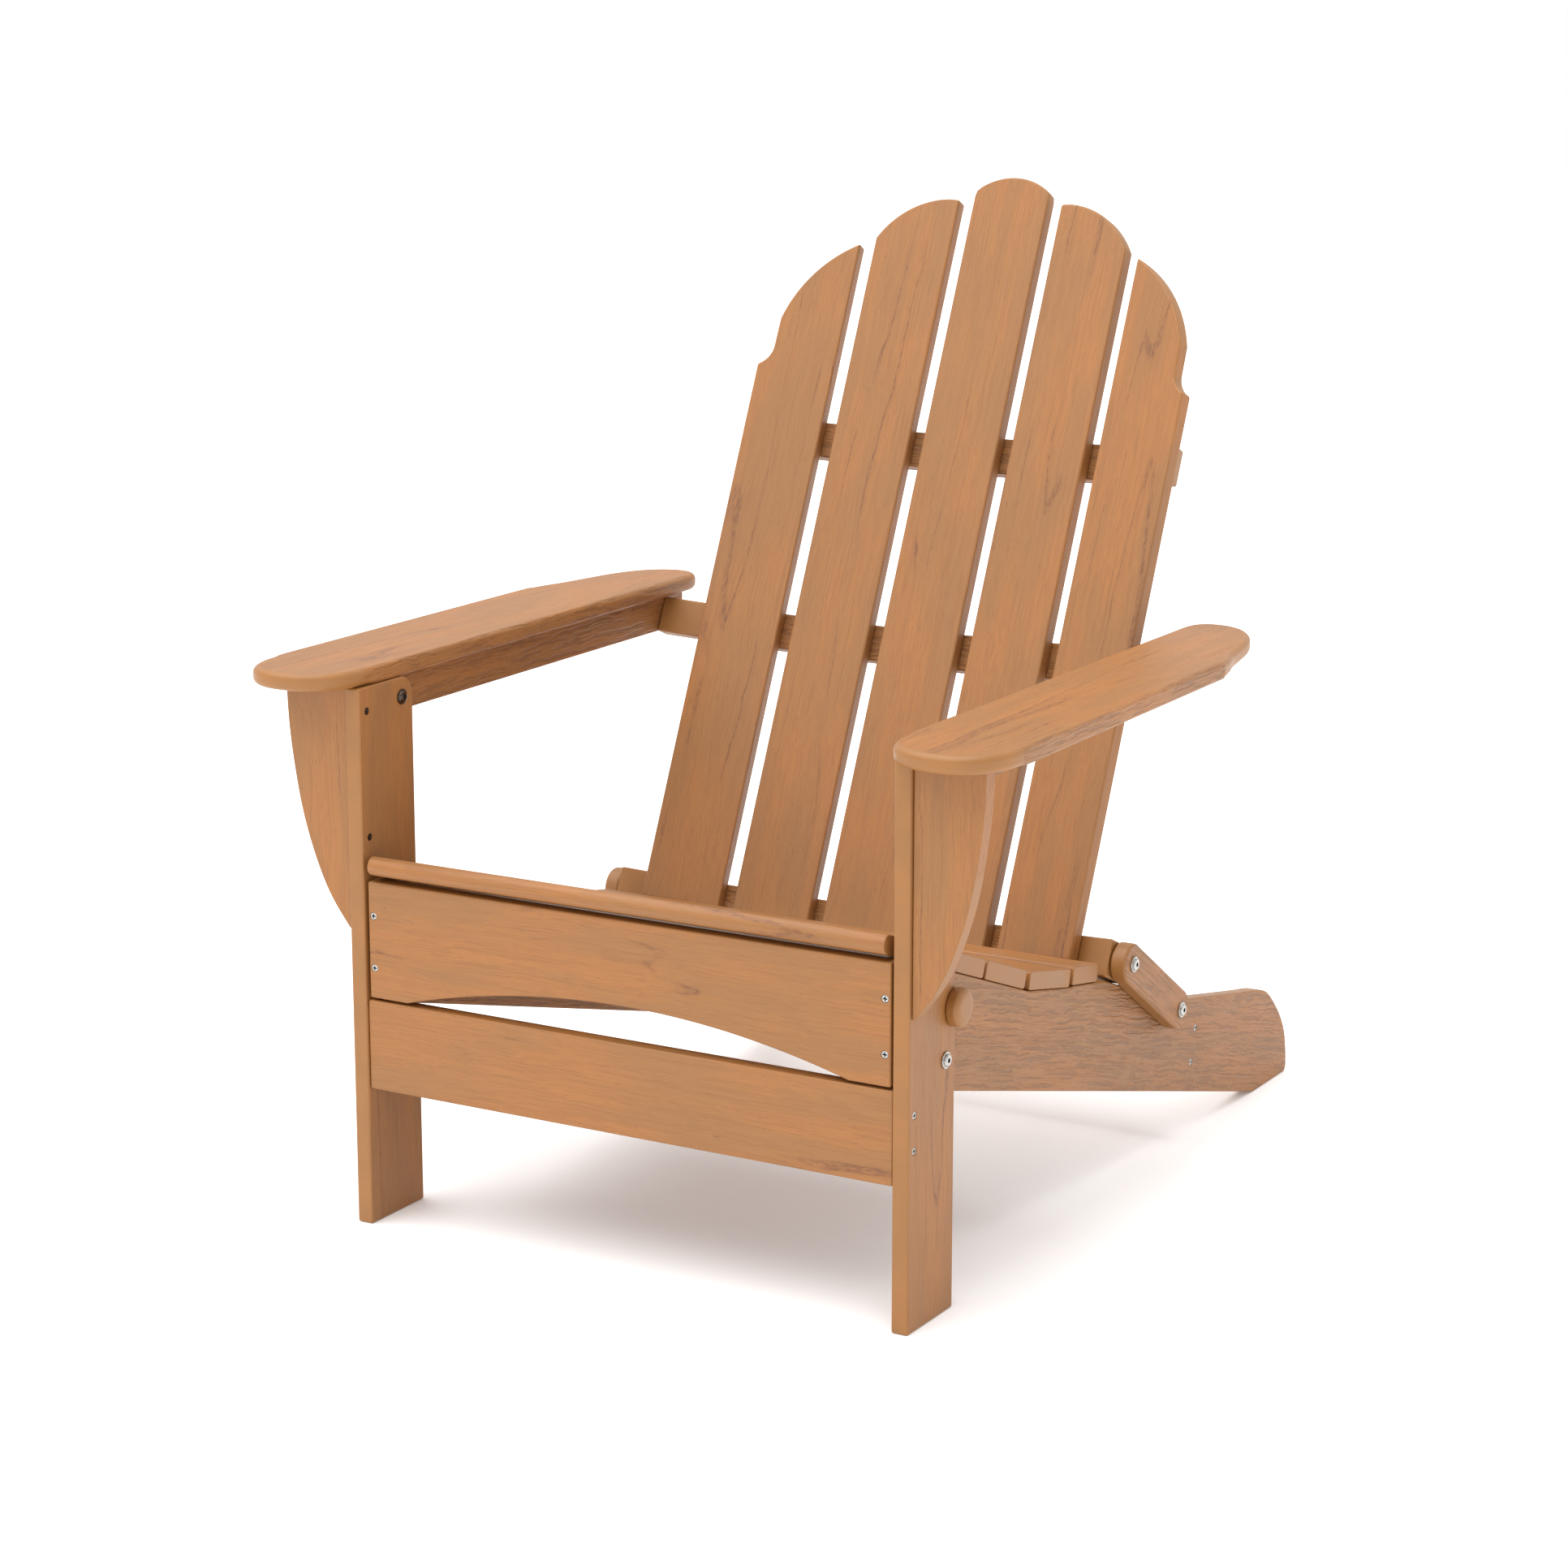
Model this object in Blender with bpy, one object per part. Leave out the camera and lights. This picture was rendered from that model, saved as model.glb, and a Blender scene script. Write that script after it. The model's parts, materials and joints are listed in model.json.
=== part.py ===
"""Folding adirondack chair in wood-look plastic lumber.

Frame: metres, +X to the sitter's left-hand side seen from the front (right in the front view),
+Y towards the rear, +Z up.  The origin is the middle of the footprint, on the floor.
All driving sizes are millimetres, with Y measured from the front edge of the front legs.
"""
import math

import bmesh
import bpy
from mathutils import Vector

for item in list(bpy.data.objects):
    bpy.data.objects.remove(item, do_unlink=True)

MM = 0.001
GAP = 0.3                 # clearance between neighbouring pieces
BOARD = 17.0              # thickness of every board except the seat slats
SEAT_BOARD = 18.0         # thickness of the seat slats
CENTRE_Y = 430.3          # puts the middle of the footprint on the origin

# layers across the chair, measured outwards from the middle
RAIL_OUT = 285.4
RAIL_IN = RAIL_OUT - BOARD
LEG_IN = 285.9
LEG_OUT = LEG_IN + BOARD
ARM_RAIL_IN = LEG_OUT + 0.5
ARM_RAIL_OUT = ARM_RAIL_IN + BOARD

LEG_DEPTH = 86.4
LEG_HEIGHT = 529.2
LEG_CORNER = 18.0
ARM_BOTTOM = 529.5
ARM_EDGE = 6.5            # rounding of the arms' shaped ends
ARM_SIDE_EDGE = 3.0       # rounding of the arms' long edges
ARM_RAIL_DROP = 38.8
EDGE = 2.2                # rounding of ordinary board edges

# pivots, as (y, z)
PIVOT_LEG = (68.0, 240.0)
PIVOT_ARM_FRONT = (68.0, 510.0)
PIVOT_LINK_LOWER = (581.5, 155.0)
PIN_R = 4.0
HOLE_R = 4.35

# back: a fan of slats tangent to a shallow arc, on three curved bars
LEAN = math.radians(24.3)
BACK_Y = 529.0            # a point on the front face of the middle slat
BACK_Z = 400.0
BACK_R = 1381.0
SLAT_PITCH = 102.8
SLAT_W = 86.8
SLAT_FOOT = -190.0
BAR_H = 38.0
BAR_FRONT_R = BACK_R + 18.0
BAR_REAR_R = BAR_FRONT_R + BOARD
BAR_UPPER_S = 324.6
BAR_MIDDLE_S = 113.5
BAR_LOWER_S = -180.0
LOWER_BAR_REAR = 35.0

WOOD = (0.54, 0.30, 0.13, 1.0)
WOOD_CUT = (0.58, 0.33, 0.15, 1.0)
STEEL = (0.62, 0.62, 0.60, 1.0)
DARK_STEEL = (0.12, 0.11, 0.11, 1.0)


def back_point(x, s, d):
    """Point of the back: x across, s up the back, d behind the front face of the middle slat."""
    y = BACK_Y + s * math.sin(LEAN) + d * math.cos(LEAN)
    z = BACK_Z + s * math.cos(LEAN) - d * math.sin(LEAN)
    return (x, y, z)


PIVOT_ARM_REAR = back_point(0.0, BAR_MIDDLE_S, -6.5)[1:]
PIVOT_LINK_UPPER = back_point(0.0, BAR_LOWER_S, 11.0)[1:]

BODY_ORIGIN = {
    "seat_frame": (CENTRE_Y, 0.0),
    "front_legs": PIVOT_LEG,
    "links": PIVOT_LINK_LOWER,
    "back": PIVOT_LINK_UPPER,
    "arms": PIVOT_ARM_REAR,
}


def material(name, colour, metallic, roughness):
    mat = bpy.data.materials.new(name)
    mat.use_nodes = True
    shader = mat.node_tree.nodes["Principled BSDF"]
    shader.inputs["Base Color"].default_value = colour
    shader.inputs["Metallic"].default_value = metallic
    shader.inputs["Roughness"].default_value = roughness
    mat.diffuse_color = colour
    return mat


def finish_object(name, bm, body, colour=WOOD, metallic=0.0, roughness=0.55, origin_x=0.0):
    """Turn millimetre geometry into a named object whose origin sits on its body's pivot line."""
    origin_y, origin_z = BODY_ORIGIN[body]
    bmesh.ops.remove_doubles(bm, verts=bm.verts, dist=0.005)
    bmesh.ops.recalc_face_normals(bm, faces=bm.faces)
    shift = Vector((origin_x, origin_y, origin_z))
    for vert in bm.verts:
        vert.co = (vert.co - shift) * MM
    mesh = bpy.data.meshes.new(name)
    bm.to_mesh(mesh)
    bm.free()
    obj = bpy.data.objects.new(name, mesh)
    obj.location = ((origin_x) * MM, (origin_y - CENTRE_Y) * MM, origin_z * MM)
    bpy.context.scene.collection.objects.link(obj)
    mesh.materials.append(material("mat_" + name, colour, metallic, roughness))
    return obj


def arc(cx, cy, radius, start, end, count):
    """Points of an arc, angles in degrees, both ends included."""
    points = []
    for i in range(count + 1):
        a = math.radians(start + (end - start) * i / count)
        points.append((cx + radius * math.cos(a), cy + radius * math.sin(a)))
    return points


def arc_through(first, middle, last, count):
    """Points of the circular arc from first to last that passes through middle."""
    (ax, ay), (bx, by), (cx, cy) = first, middle, last
    scale = 2.0 * (ax * (by - cy) + bx * (cy - ay) + cx * (ay - by))
    ux = ((ax ** 2 + ay ** 2) * (by - cy) + (bx ** 2 + by ** 2) * (cy - ay) + (cx ** 2 + cy ** 2) * (ay - by)) / scale
    uy = ((ax ** 2 + ay ** 2) * (cx - bx) + (bx ** 2 + by ** 2) * (ax - cx) + (cx ** 2 + cy ** 2) * (bx - ax)) / scale
    start = math.degrees(math.atan2(ay - uy, ax - ux))
    turn = math.degrees(math.atan2(cy - uy, cx - ux)) - start
    via = math.degrees(math.atan2(by - uy, bx - ux)) - start
    turn, via = turn % 360.0, via % 360.0
    if via > turn:
        turn -= 360.0
    return arc(ux, uy, math.hypot(ax - ux, ay - uy), start, start + turn, count)


def smooth_run(points, count):
    """Points of a smooth curve through the given ones."""
    result = []
    for i in range(len(points) - 1):
        p0 = Vector(points[max(i - 1, 0)])
        p1, p2 = Vector(points[i]), Vector(points[i + 1])
        p3 = Vector(points[min(i + 2, len(points) - 1)])
        for k in range(count):
            t = k / count
            result.append(tuple(0.5 * (2 * p1 + (p2 - p0) * t + (2 * p0 - 5 * p1 + 4 * p2 - p3) * t ** 2
                                       + (3 * p1 - p0 - 3 * p2 + p3) * t ** 3)))
    result.append(tuple(points[-1]))
    return result


def add_prism(bm, outline, place, near, far, edge=EDGE, corner_angle=35.0, segments=1):
    """Extrude an outline between two depths; place(a, b, depth) gives the point.

    The rims of both faces, and every outline corner sharper than corner_angle, are rounded."""
    count = len(outline)
    rings = []
    for depth in (near, far):
        rings.append([bm.verts.new(place(a, b, depth)) for a, b in outline])
    faces = [bm.faces.new(rings[0]), bm.faces.new(list(reversed(rings[1])))]
    for i in range(count):
        j = (i + 1) % count
        faces.append(bm.faces.new((rings[0][i], rings[0][j], rings[1][j], rings[1][i])))
    bmesh.ops.recalc_face_normals(bm, faces=faces)
    if edge <= 0.0:
        return
    rim = []
    for ring in rings:
        for i in range(count):
            rim.append(bm.edges.get((ring[i], ring[(i + 1) % count])))
    for i in range(count):
        before = Vector(outline[i]) - Vector(outline[i - 1])
        after = Vector(outline[(i + 1) % count]) - Vector(outline[i])
        if math.degrees(before.angle(after)) > corner_angle:
            rim.append(bm.edges.get((rings[0][i], rings[1][i])))
    bmesh.ops.bevel(bm, geom=rim, offset=edge, offset_type="OFFSET", segments=segments,
                    profile=0.5, affect="EDGES", clamp_overlap=True)


def add_slab(bm, outline, radii, low, high, steps):
    """Board lying flat: plan outline, rims rounded by the radius given for each outline point."""
    count = len(outline)
    points = [Vector(point) for point in outline]
    area = sum(points[i - 1].x * points[i].y - points[i].x * points[i - 1].y for i in range(count))
    outwards = []
    for i in range(count):
        run = ((points[i] - points[i - 1]).normalized() + (points[(i + 1) % count] - points[i]).normalized()).normalized()
        outwards.append(Vector((run.y, -run.x)) * math.copysign(1.0, area))
    rings = []
    for k in list(range(steps + 1)) + list(range(steps, -1, -1)):
        angle = math.pi / 2 * k / steps
        upper = len(rings) > steps
        ring = []
        for point, normal, radius in zip(points, outwards, radii):
            at = point - normal * radius * (1.0 - math.sin(angle))
            lift = radius * (1.0 - math.cos(angle))
            ring.append(bm.verts.new((at.x, at.y, high - lift if upper else low + lift)))
        rings.append(ring)
    bm.faces.new(rings[0])
    bm.faces.new(list(reversed(rings[-1])))
    for lower, upper in zip(rings, rings[1:]):
        for i in range(count):
            j = (i + 1) % count
            bm.faces.new((lower[i], lower[j], upper[j], upper[i]))


def side_place(side):
    """Outlines in the side view (y, z), depth measured outwards on the given side."""
    return lambda a, b, depth: (side * depth, a, b)


def front_place(a, b, depth):
    """Outlines in the front view (x, z), depth along y."""
    return (a, depth, b)


def add_turned(bm, axis_point, direction, profile, sides=16):
    """Solid of revolution: profile is (distance along the direction, radius) from end to end."""
    direction = Vector(direction).normalized()
    helper = Vector((0, 0, 1)) if abs(direction.z) < 0.9 else Vector((0, 1, 0))
    u = direction.cross(helper).normalized()
    v = direction.cross(u).normalized()
    start = Vector(axis_point)
    rings = []
    for along, radius in profile:
        ring = []
        for i in range(sides):
            a = 2.0 * math.pi * i / sides
            ring.append(bm.verts.new(start + direction * along
                                     + (u * math.cos(a) + v * math.sin(a)) * radius))
        rings.append(ring)
    bm.faces.new(rings[0])
    bm.faces.new(list(reversed(rings[-1])))
    for lower, upper in zip(rings, rings[1:]):
        for i in range(sides):
            j = (i + 1) % sides
            bm.faces.new((lower[i], lower[j], upper[j], upper[i]))


def drill(obj, body, holes, sides=16, notch=None):
    """Cut round holes, each (point, direction, [(along, radius), ...]), and a notch given like a prism."""
    bm = bmesh.new()
    if notch:
        add_prism(bm, *notch, edge=0.0)
    for point, direction, profile in holes:
        add_turned(bm, point, direction, profile, sides)
    cutter = finish_object(obj.name + "_cutter", bm, body)
    cutter.hide_render = True
    cutter.display_type = "WIRE"
    modifier = obj.modifiers.new("holes", "BOOLEAN")
    modifier.operation = "DIFFERENCE"
    modifier.solver = "EXACT"
    modifier.object = cutter


SIDES = (("left", -1), ("right", 1))

# ---------------------------------------------------------------- seat frame
SEAT_SLOPE = 0.370
SEAT_FRONT_Z = 370.0


def seat_line(y):
    return SEAT_FRONT_Z - SEAT_SLOPE * y


# each slat: front y, length along its own slope, top z at the front, slope in degrees, half width
FRONT_TILT = math.degrees(math.atan(SEAT_SLOPE))
SEAT_SLATS = (
    (0.0, 99.0, seat_line(0.0), FRONT_TILT, 278.8),
    (98.0, 87.4, seat_line(98.0), FRONT_TILT, 285.5),
    (184.5, 86.6, seat_line(184.5), FRONT_TILT, 285.5),
    (273.0, 89.0, 268.9, 12.2, 285.5),
    (366.5, 55.9, 250.2, 10.0, 285.5),
)

rail_outline = [
    (19.4, 343.2), (269.5, 250.6), (362.5, 230.7), (366.0, 231.2), (422.5, 221.2),
    (440.0, 217.8), (479.0, 203.2),
]
tail = [(640.0, 149.5), (749.5, 127.0), (793.0, 118.3), (815.0, 114.2), (830.5, 110.6), (846.5, 104.8), (858.5, 96.4),
        (869.0, 87.0), (883.0, 72.6), (893.3, 58.8), (901.0, 43.5), (904.8, 26.8), (906.2, 14.0), (906.5, 4.5)]
rail_outline += tail + [(903.0, 0.0), (816.5, 0.0), (79.0, 204.9)]
rail_outline += [(62.0, 209.6), (48.0, 214.6), (36.5, 221.4), (27.5, 229.6), (21.5, 238.6), (19.4, 246.0)]

APRON_SCREW_X = (RAIL_IN + RAIL_OUT) / 2.0
APRON_SCREW_Z = (309.7, 258.5)
APRON_Y = (2.0, 19.0)
SCREW_PROFILE = [(0.3, 3.4), (1.6, 3.4), (2.4, 2.0), (14.0, 2.0)]
SCREW_HOLE = [(-2.0, 3.8), (2.0, 3.8), (2.8, 2.4), (14.6, 2.4)]
REAR_STRETCHER = (654.0, 96.0)
REAR_STRETCHER_H = 76.0
RAIL_TILT = math.radians(15.5)
REAR_SCREWS = tuple((REAR_STRETCHER[0] + k * 18.0 * math.sin(RAIL_TILT),
                     REAR_STRETCHER[1] + k * 18.0 * math.cos(RAIL_TILT)) for k in (1, -1))
LEVELS = ("upper", "lower")


def add_screw(name, body, point, direction, colour=STEEL):
    """Countersunk screw whose head lies just under the surface it is driven through."""
    bm = bmesh.new()
    add_turned(bm, point, direction, SCREW_PROFILE, 10)
    finish_object(name, bm, body, colour, 1.0, 0.35)


for label, side in SIDES:
    bm = bmesh.new()
    add_prism(bm, rail_outline, side_place(side), RAIL_IN, RAIL_OUT, edge=2.0)
    rail = finish_object("side_rail_" + label, bm, "seat_frame")
    outwards = (side, 0, 0)
    rail_holes = []
    for y, z in (PIVOT_LEG, PIVOT_LINK_LOWER):
        rail_holes.append(((side * (RAIL_IN - 2), y, z), outwards, [(0.0, HOLE_R), (BOARD + 4, HOLE_R)]))
    for y, z in REAR_SCREWS:
        rail_holes.append(((side * RAIL_OUT, y, z), (-side, 0, 0), SCREW_HOLE))
    drill(rail, "seat_frame", rail_holes)

for number, (front, length, top, tilt, half) in enumerate(SEAT_SLATS, start=1):
    tilt = math.radians(tilt)
    along = (math.cos(tilt), -math.sin(tilt))
    up = (math.sin(tilt), math.cos(tilt))
    nose = 8.5 if number == 1 else 2.5
    # cross-section in its own axes: p along the slope, q up from the underside
    section = arc(nose, SEAT_BOARD - nose, nose, 180, 90, 3)
    section += arc(length - 2.5, SEAT_BOARD - 2.5, 2.5, 90, 0, 1)
    section += arc(length - 2.5, 2.5, 2.5, 0, -90, 1)
    section += arc(nose, nose, nose, -90, -180, 3)
    outline = []
    for p, q in section:
        q -= SEAT_BOARD
        outline.append((front + p * along[0] + q * up[0], top + p * along[1] + q * up[1]))
    bm = bmesh.new()
    add_prism(bm, outline, lambda a, b, depth: (depth, a, b), -half, half, edge=1.2, corner_angle=80.0)
    finish_object("seat_slat_%d" % number, bm, "seat_frame")

APRON_HALF = 283.0
APRON_Z = (228.5, 343.2)
ARCH_HALF = 240.0
ARCH_RISE = 33.0
arch_radius = (ARCH_HALF ** 2 + ARCH_RISE ** 2) / (2.0 * ARCH_RISE)
arch_angle = math.degrees(math.asin(ARCH_HALF / arch_radius))
apron_outline = [(-APRON_HALF, APRON_Z[1]), (APRON_HALF, APRON_Z[1]), (APRON_HALF, APRON_Z[0])]
apron_outline += arc(0.0, APRON_Z[0] + ARCH_RISE - arch_radius, arch_radius,
                     90 - arch_angle, 90 + arch_angle, 14)
apron_outline += [(-APRON_HALF, APRON_Z[0])]
bm = bmesh.new()
add_prism(bm, apron_outline, front_place, APRON_Y[0], APRON_Y[1])
apron = finish_object("apron", bm, "seat_frame")
drill(apron, "seat_frame", [((s * APRON_SCREW_X, APRON_Y[0], z), (0, 1, 0), SCREW_HOLE)
                            for s in (-1, 1) for z in APRON_SCREW_Z])
for label, side in SIDES:
    for level, z in zip(LEVELS, APRON_SCREW_Z):
        add_screw("apron_screw_%s_%s" % (label, level), "seat_frame",
                  (side * APRON_SCREW_X, APRON_Y[0], z), (0, 1, 0))

rail_dir = (math.cos(RAIL_TILT), -math.sin(RAIL_TILT))
rail_up = (math.sin(RAIL_TILT), math.cos(RAIL_TILT))
outline = []
for p, q in ((-0.5, -0.5), (0.5, -0.5), (0.5, 0.5), (-0.5, 0.5)):
    p *= BOARD
    q *= REAR_STRETCHER_H
    outline.append((REAR_STRETCHER[0] + p * rail_dir[0] + q * rail_up[0],
                    REAR_STRETCHER[1] + p * rail_dir[1] + q * rail_up[1]))
bm = bmesh.new()
inner = RAIL_IN - GAP
add_prism(bm, outline, lambda a, b, depth: (depth, a, b), -inner, inner)
finish_object("rear_stretcher", bm, "seat_frame")
for label, side in SIDES:
    for level, (y, z) in zip(LEVELS, REAR_SCREWS):
        add_screw("rear_stretcher_screw_%s_%s" % (label, level), "seat_frame",
                  (side * RAIL_OUT, y, z), (-side, 0, 0))

# the shank of each stop lies in a notch of the leg's rear edge, the wide head outside the leg
KNOB = (83.5, 286.0)
KNOB_SHANK_R = 6.0
KNOB_R = 18.0
for label, side in SIDES:
    bm = bmesh.new()
    head = LEG_OUT - RAIL_OUT + 0.3
    add_turned(bm, (side * RAIL_OUT, KNOB[0], KNOB[1]), (side, 0, 0),
               [(GAP, KNOB_SHANK_R), (head, KNOB_SHANK_R), (head, KNOB_R - 2.0), (head + 1.6, KNOB_R),
                (head + 7.5, KNOB_R), (head + 10.8, KNOB_R - 2.0), (head + 12.5, KNOB_R - 6.0)], 20)
    finish_object("stop_knob_" + label, bm, "seat_frame", WOOD_CUT)

# ---------------------------------------------------------------- front legs
leg_outline = [(0.0, 0.0), (LEG_DEPTH, 0.0)]
leg_outline += arc(LEG_DEPTH - LEG_CORNER, LEG_HEIGHT - LEG_CORNER, LEG_CORNER, 0, 90, 6)
leg_outline += [(0.0, LEG_HEIGHT)]
# notch that lets the leg turn away from the stop: a slot round the leg's pivot, closed at the front
NOTCH_R = KNOB_SHANK_R + 0.45
knob_reach = math.hypot(KNOB[0] - PIVOT_LEG[0], KNOB[1] - PIVOT_LEG[1])
knob_angle = math.degrees(math.atan2(KNOB[1] - PIVOT_LEG[1], KNOB[0] - PIVOT_LEG[0]))
notch_outline = arc(*PIVOT_LEG, knob_reach - NOTCH_R, 50, knob_angle, 5)
notch_outline += arc(*KNOB, NOTCH_R, knob_angle + 180, knob_angle, 10)[1:]
notch_outline += arc(*PIVOT_LEG, knob_reach + NOTCH_R, knob_angle, 50, 5)[1:]
STRETCHER_Z = (137.0, 225.9)
STRETCHER_SCREWS = ((10.5, 204.0), (10.5, 171.0))
BRACKET_Y = (3.5, 20.5)
BRACKET_SCREWS = ((12.0, 506.0), (12.0, 384.0))
for label, side in SIDES:
    bm = bmesh.new()
    add_prism(bm, leg_outline, side_place(side), LEG_IN, LEG_OUT)
    leg = finish_object("front_leg_" + label, bm, "front_legs")
    holes = []
    for y, z in (PIVOT_LEG, PIVOT_ARM_FRONT):
        holes.append(((side * (LEG_IN - 2), y, z), (side, 0, 0), [(0.0, HOLE_R), (BOARD + 4, HOLE_R)]))
    for y, z in STRETCHER_SCREWS:
        holes.append(((side * LEG_OUT, y, z), (-side, 0, 0), SCREW_HOLE))
    for y, z in BRACKET_SCREWS:
        holes.append(((side * LEG_IN, y, z), (side, 0, 0), SCREW_HOLE))
    drill(leg, "front_legs", holes, notch=(notch_outline, side_place(side), LEG_IN - 2, LEG_OUT + 2))

bm = bmesh.new()
half = LEG_IN - GAP
add_prism(bm, [(-half, STRETCHER_Z[0]), (half, STRETCHER_Z[0]), (half, STRETCHER_Z[1]), (-half, STRETCHER_Z[1])],
          front_place, 2.0, 19.0)
finish_object("front_stretcher", bm, "front_legs")

BRACKET_TOP = 528.9
BRACKET_FOOT = 293.6
# outer edge in the front view, from the narrow foot to the full reach under the arm
BRACKET_EDGE = [(324.5, 318.5), (338.0, 343.5), (351.0, 377.5), (360.5, 412.0), (368.0, 455.0), (372.0, 490.0),
                (373.8, 528.9)]
for label, side in SIDES:
    foot = LEG_OUT + GAP
    outline = [(foot, BRACKET_TOP), (foot, BRACKET_FOOT)]
    outline += smooth_run([(foot + 2.6, BRACKET_FOOT)] + BRACKET_EDGE, 2)
    outline = [(side * a, b) for a, b in outline]
    bm = bmesh.new()
    add_prism(bm, outline, front_place, BRACKET_Y[0], BRACKET_Y[1], edge=1.1)
    finish_object("arm_bracket_" + label, bm, "front_legs")

for label, side in SIDES:
    for level, (y, z) in zip(LEVELS, STRETCHER_SCREWS):
        add_screw("front_stretcher_screw_%s_%s" % (label, level), "front_legs",
                  (side * LEG_OUT, y, z), (-side, 0, 0))
    for level, (y, z) in zip(LEVELS, BRACKET_SCREWS):
        add_screw("bracket_screw_%s_%s" % (label, level), "front_legs",
                  (side * LEG_IN, y, z), (side, 0, 0), DARK_STEEL)

# ---------------------------------------------------------------- bolts
WASHER_R = 8.0
HEAD_R = 6.2


def bolt_profile(reach):
    """Washer and domed head outside the face, shank of the given reach inwards."""
    return [(3.9, HEAD_R - 1.2), (3.4, HEAD_R - 0.3), (2.8, HEAD_R), (1.6, HEAD_R), (1.6, WASHER_R),
            (GAP, WASHER_R), (GAP, PIN_R), (-reach, PIN_R)]


def add_bolt(bm, x, pivot, side, reach):
    add_turned(bm, (side * x, pivot[0], pivot[1]), (side, 0, 0), bolt_profile(reach), 16)


# name, body, x of the face under the washer, pivot, reach of the shank
BOLTS = (
    ("leg_pivot_bolt", "front_legs", LEG_OUT, PIVOT_LEG, 2 * BOARD),
    ("link_lower_bolt", "links", LEG_OUT, PIVOT_LINK_LOWER, 2 * BOARD),
    ("link_upper_bolt", "links", LEG_OUT, PIVOT_LINK_UPPER, 2 * BOARD + 8),
    ("arm_rear_bolt", "arms", ARM_RAIL_OUT, PIVOT_ARM_REAR, 33.0),
    ("arm_front_bolt", "arms", ARM_RAIL_OUT, PIVOT_ARM_FRONT, BOARD - 0.5),
)
for label, side in SIDES:
    for name, body, x, pivot, reach in BOLTS:
        bm = bmesh.new()
        add_bolt(bm, x, pivot, side, reach)
        finish_object(name + "_" + label, bm, body, STEEL, 1.0, 0.3)
    # domed nut seen on the inner face of each front leg, with its own stub in the leg
    bm = bmesh.new()
    add_turned(bm, (side * LEG_IN, PIVOT_ARM_FRONT[0], PIVOT_ARM_FRONT[1]), (-side, 0, 0),
               [(3.6, HEAD_R - 1.6), (2.8, HEAD_R - 0.4), (1.6, HEAD_R), (1.6, WASHER_R - 0.6),
                (GAP, WASHER_R - 0.6), (GAP, PIN_R), (-BOARD + 0.5, PIN_R)], 16)
    finish_object("leg_top_nut_" + label, bm, "front_legs", DARK_STEEL, 1.0, 0.35)

# ---------------------------------------------------------------- links
LINK_R = 20.3
dy = PIVOT_LINK_LOWER[0] - PIVOT_LINK_UPPER[0]
dz = PIVOT_LINK_LOWER[1] - PIVOT_LINK_UPPER[1]
link_angle = math.degrees(math.atan2(dz, dy))
link_outline = arc(PIVOT_LINK_LOWER[0], PIVOT_LINK_LOWER[1], LINK_R, link_angle - 90, link_angle + 90, 12)
link_outline += arc(PIVOT_LINK_UPPER[0], PIVOT_LINK_UPPER[1], LINK_R, link_angle + 90, link_angle + 270, 12)
for label, side in SIDES:
    bm = bmesh.new()
    add_prism(bm, link_outline, side_place(side), LEG_IN, LEG_OUT, edge=3.0)
    link = finish_object("link_" + label, bm, "links")
    drill(link, "links", [((side * (LEG_IN - 2), y, z), (side, 0, 0), [(0.0, HOLE_R), (BOARD + 4, HOLE_R)])
                          for y, z in (PIVOT_LINK_LOWER, PIVOT_LINK_UPPER)])

# ---------------------------------------------------------------- arms
# plan of the right arm: (x, y) round the front end, then round the rear end
ARM_FRONT = [(287.0, 40.0), (287.2, 20.0), (288.0, 4.0), (290.6, -9.0), (295.8, -20.5), (304.0, -31.5), (316.0, -39.5),
             (330.0, -44.5), (346.0, -46.0), (360.0, -44.8), (372.5, -40.6), (383.5, -33.0), (392.0, -22.0),
             (398.2, -6.5), (401.2, 12.0), (401.8, 40.0)]
ARM_REAR = [(399.0, 448.0), (395.5, 468.0), (387.0, 498.0), (380.0, 532.0), (373.0, 564.0), (363.0, 591.0),
            (349.5, 611.0), (334.0, 622.5), (318.0, 627.0), (304.5, 625.5), (295.5, 619.5), (289.8, 610.5),
            (287.4, 599.0), (287.0, 580.0)]
arm_outline = ARM_FRONT + ARM_REAR
arm_radii = [ARM_SIDE_EDGE if 30.0 < y < 450.0 else ARM_EDGE for _, y in arm_outline]
arm_rail_top = ARM_BOTTOM - GAP
arm_rail_low = arm_rail_top - ARM_RAIL_DROP + GAP
rail_mid = (arm_rail_top + arm_rail_low) / 2.0
rail_half = (arm_rail_top - arm_rail_low) / 2.0
arm_rail_outline = arc(PIVOT_ARM_FRONT[0], rail_mid, rail_half, 270, 90, 8)
arm_rail_outline += [(608.0, arm_rail_top), (608.0, arm_rail_low + 6.0), (603.0, arm_rail_low)]
for label, side in SIDES:
    bm = bmesh.new()
    add_slab(bm, [(side * a, b) for a, b in arm_outline], arm_radii, ARM_BOTTOM, ARM_BOTTOM + BOARD, 3)
    finish_object("arm_" + label, bm, "arms")
    bm = bmesh.new()
    add_prism(bm, arm_rail_outline, side_place(side), ARM_RAIL_IN, ARM_RAIL_OUT)
    arm_rail = finish_object("arm_rail_" + label, bm, "arms")
    drill(arm_rail, "arms", [((side * (ARM_RAIL_IN - 2), y, z), (side, 0, 0), [(0.0, HOLE_R), (BOARD + 4, HOLE_R)])
                             for y, z in (PIVOT_ARM_FRONT, PIVOT_ARM_REAR)])

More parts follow.
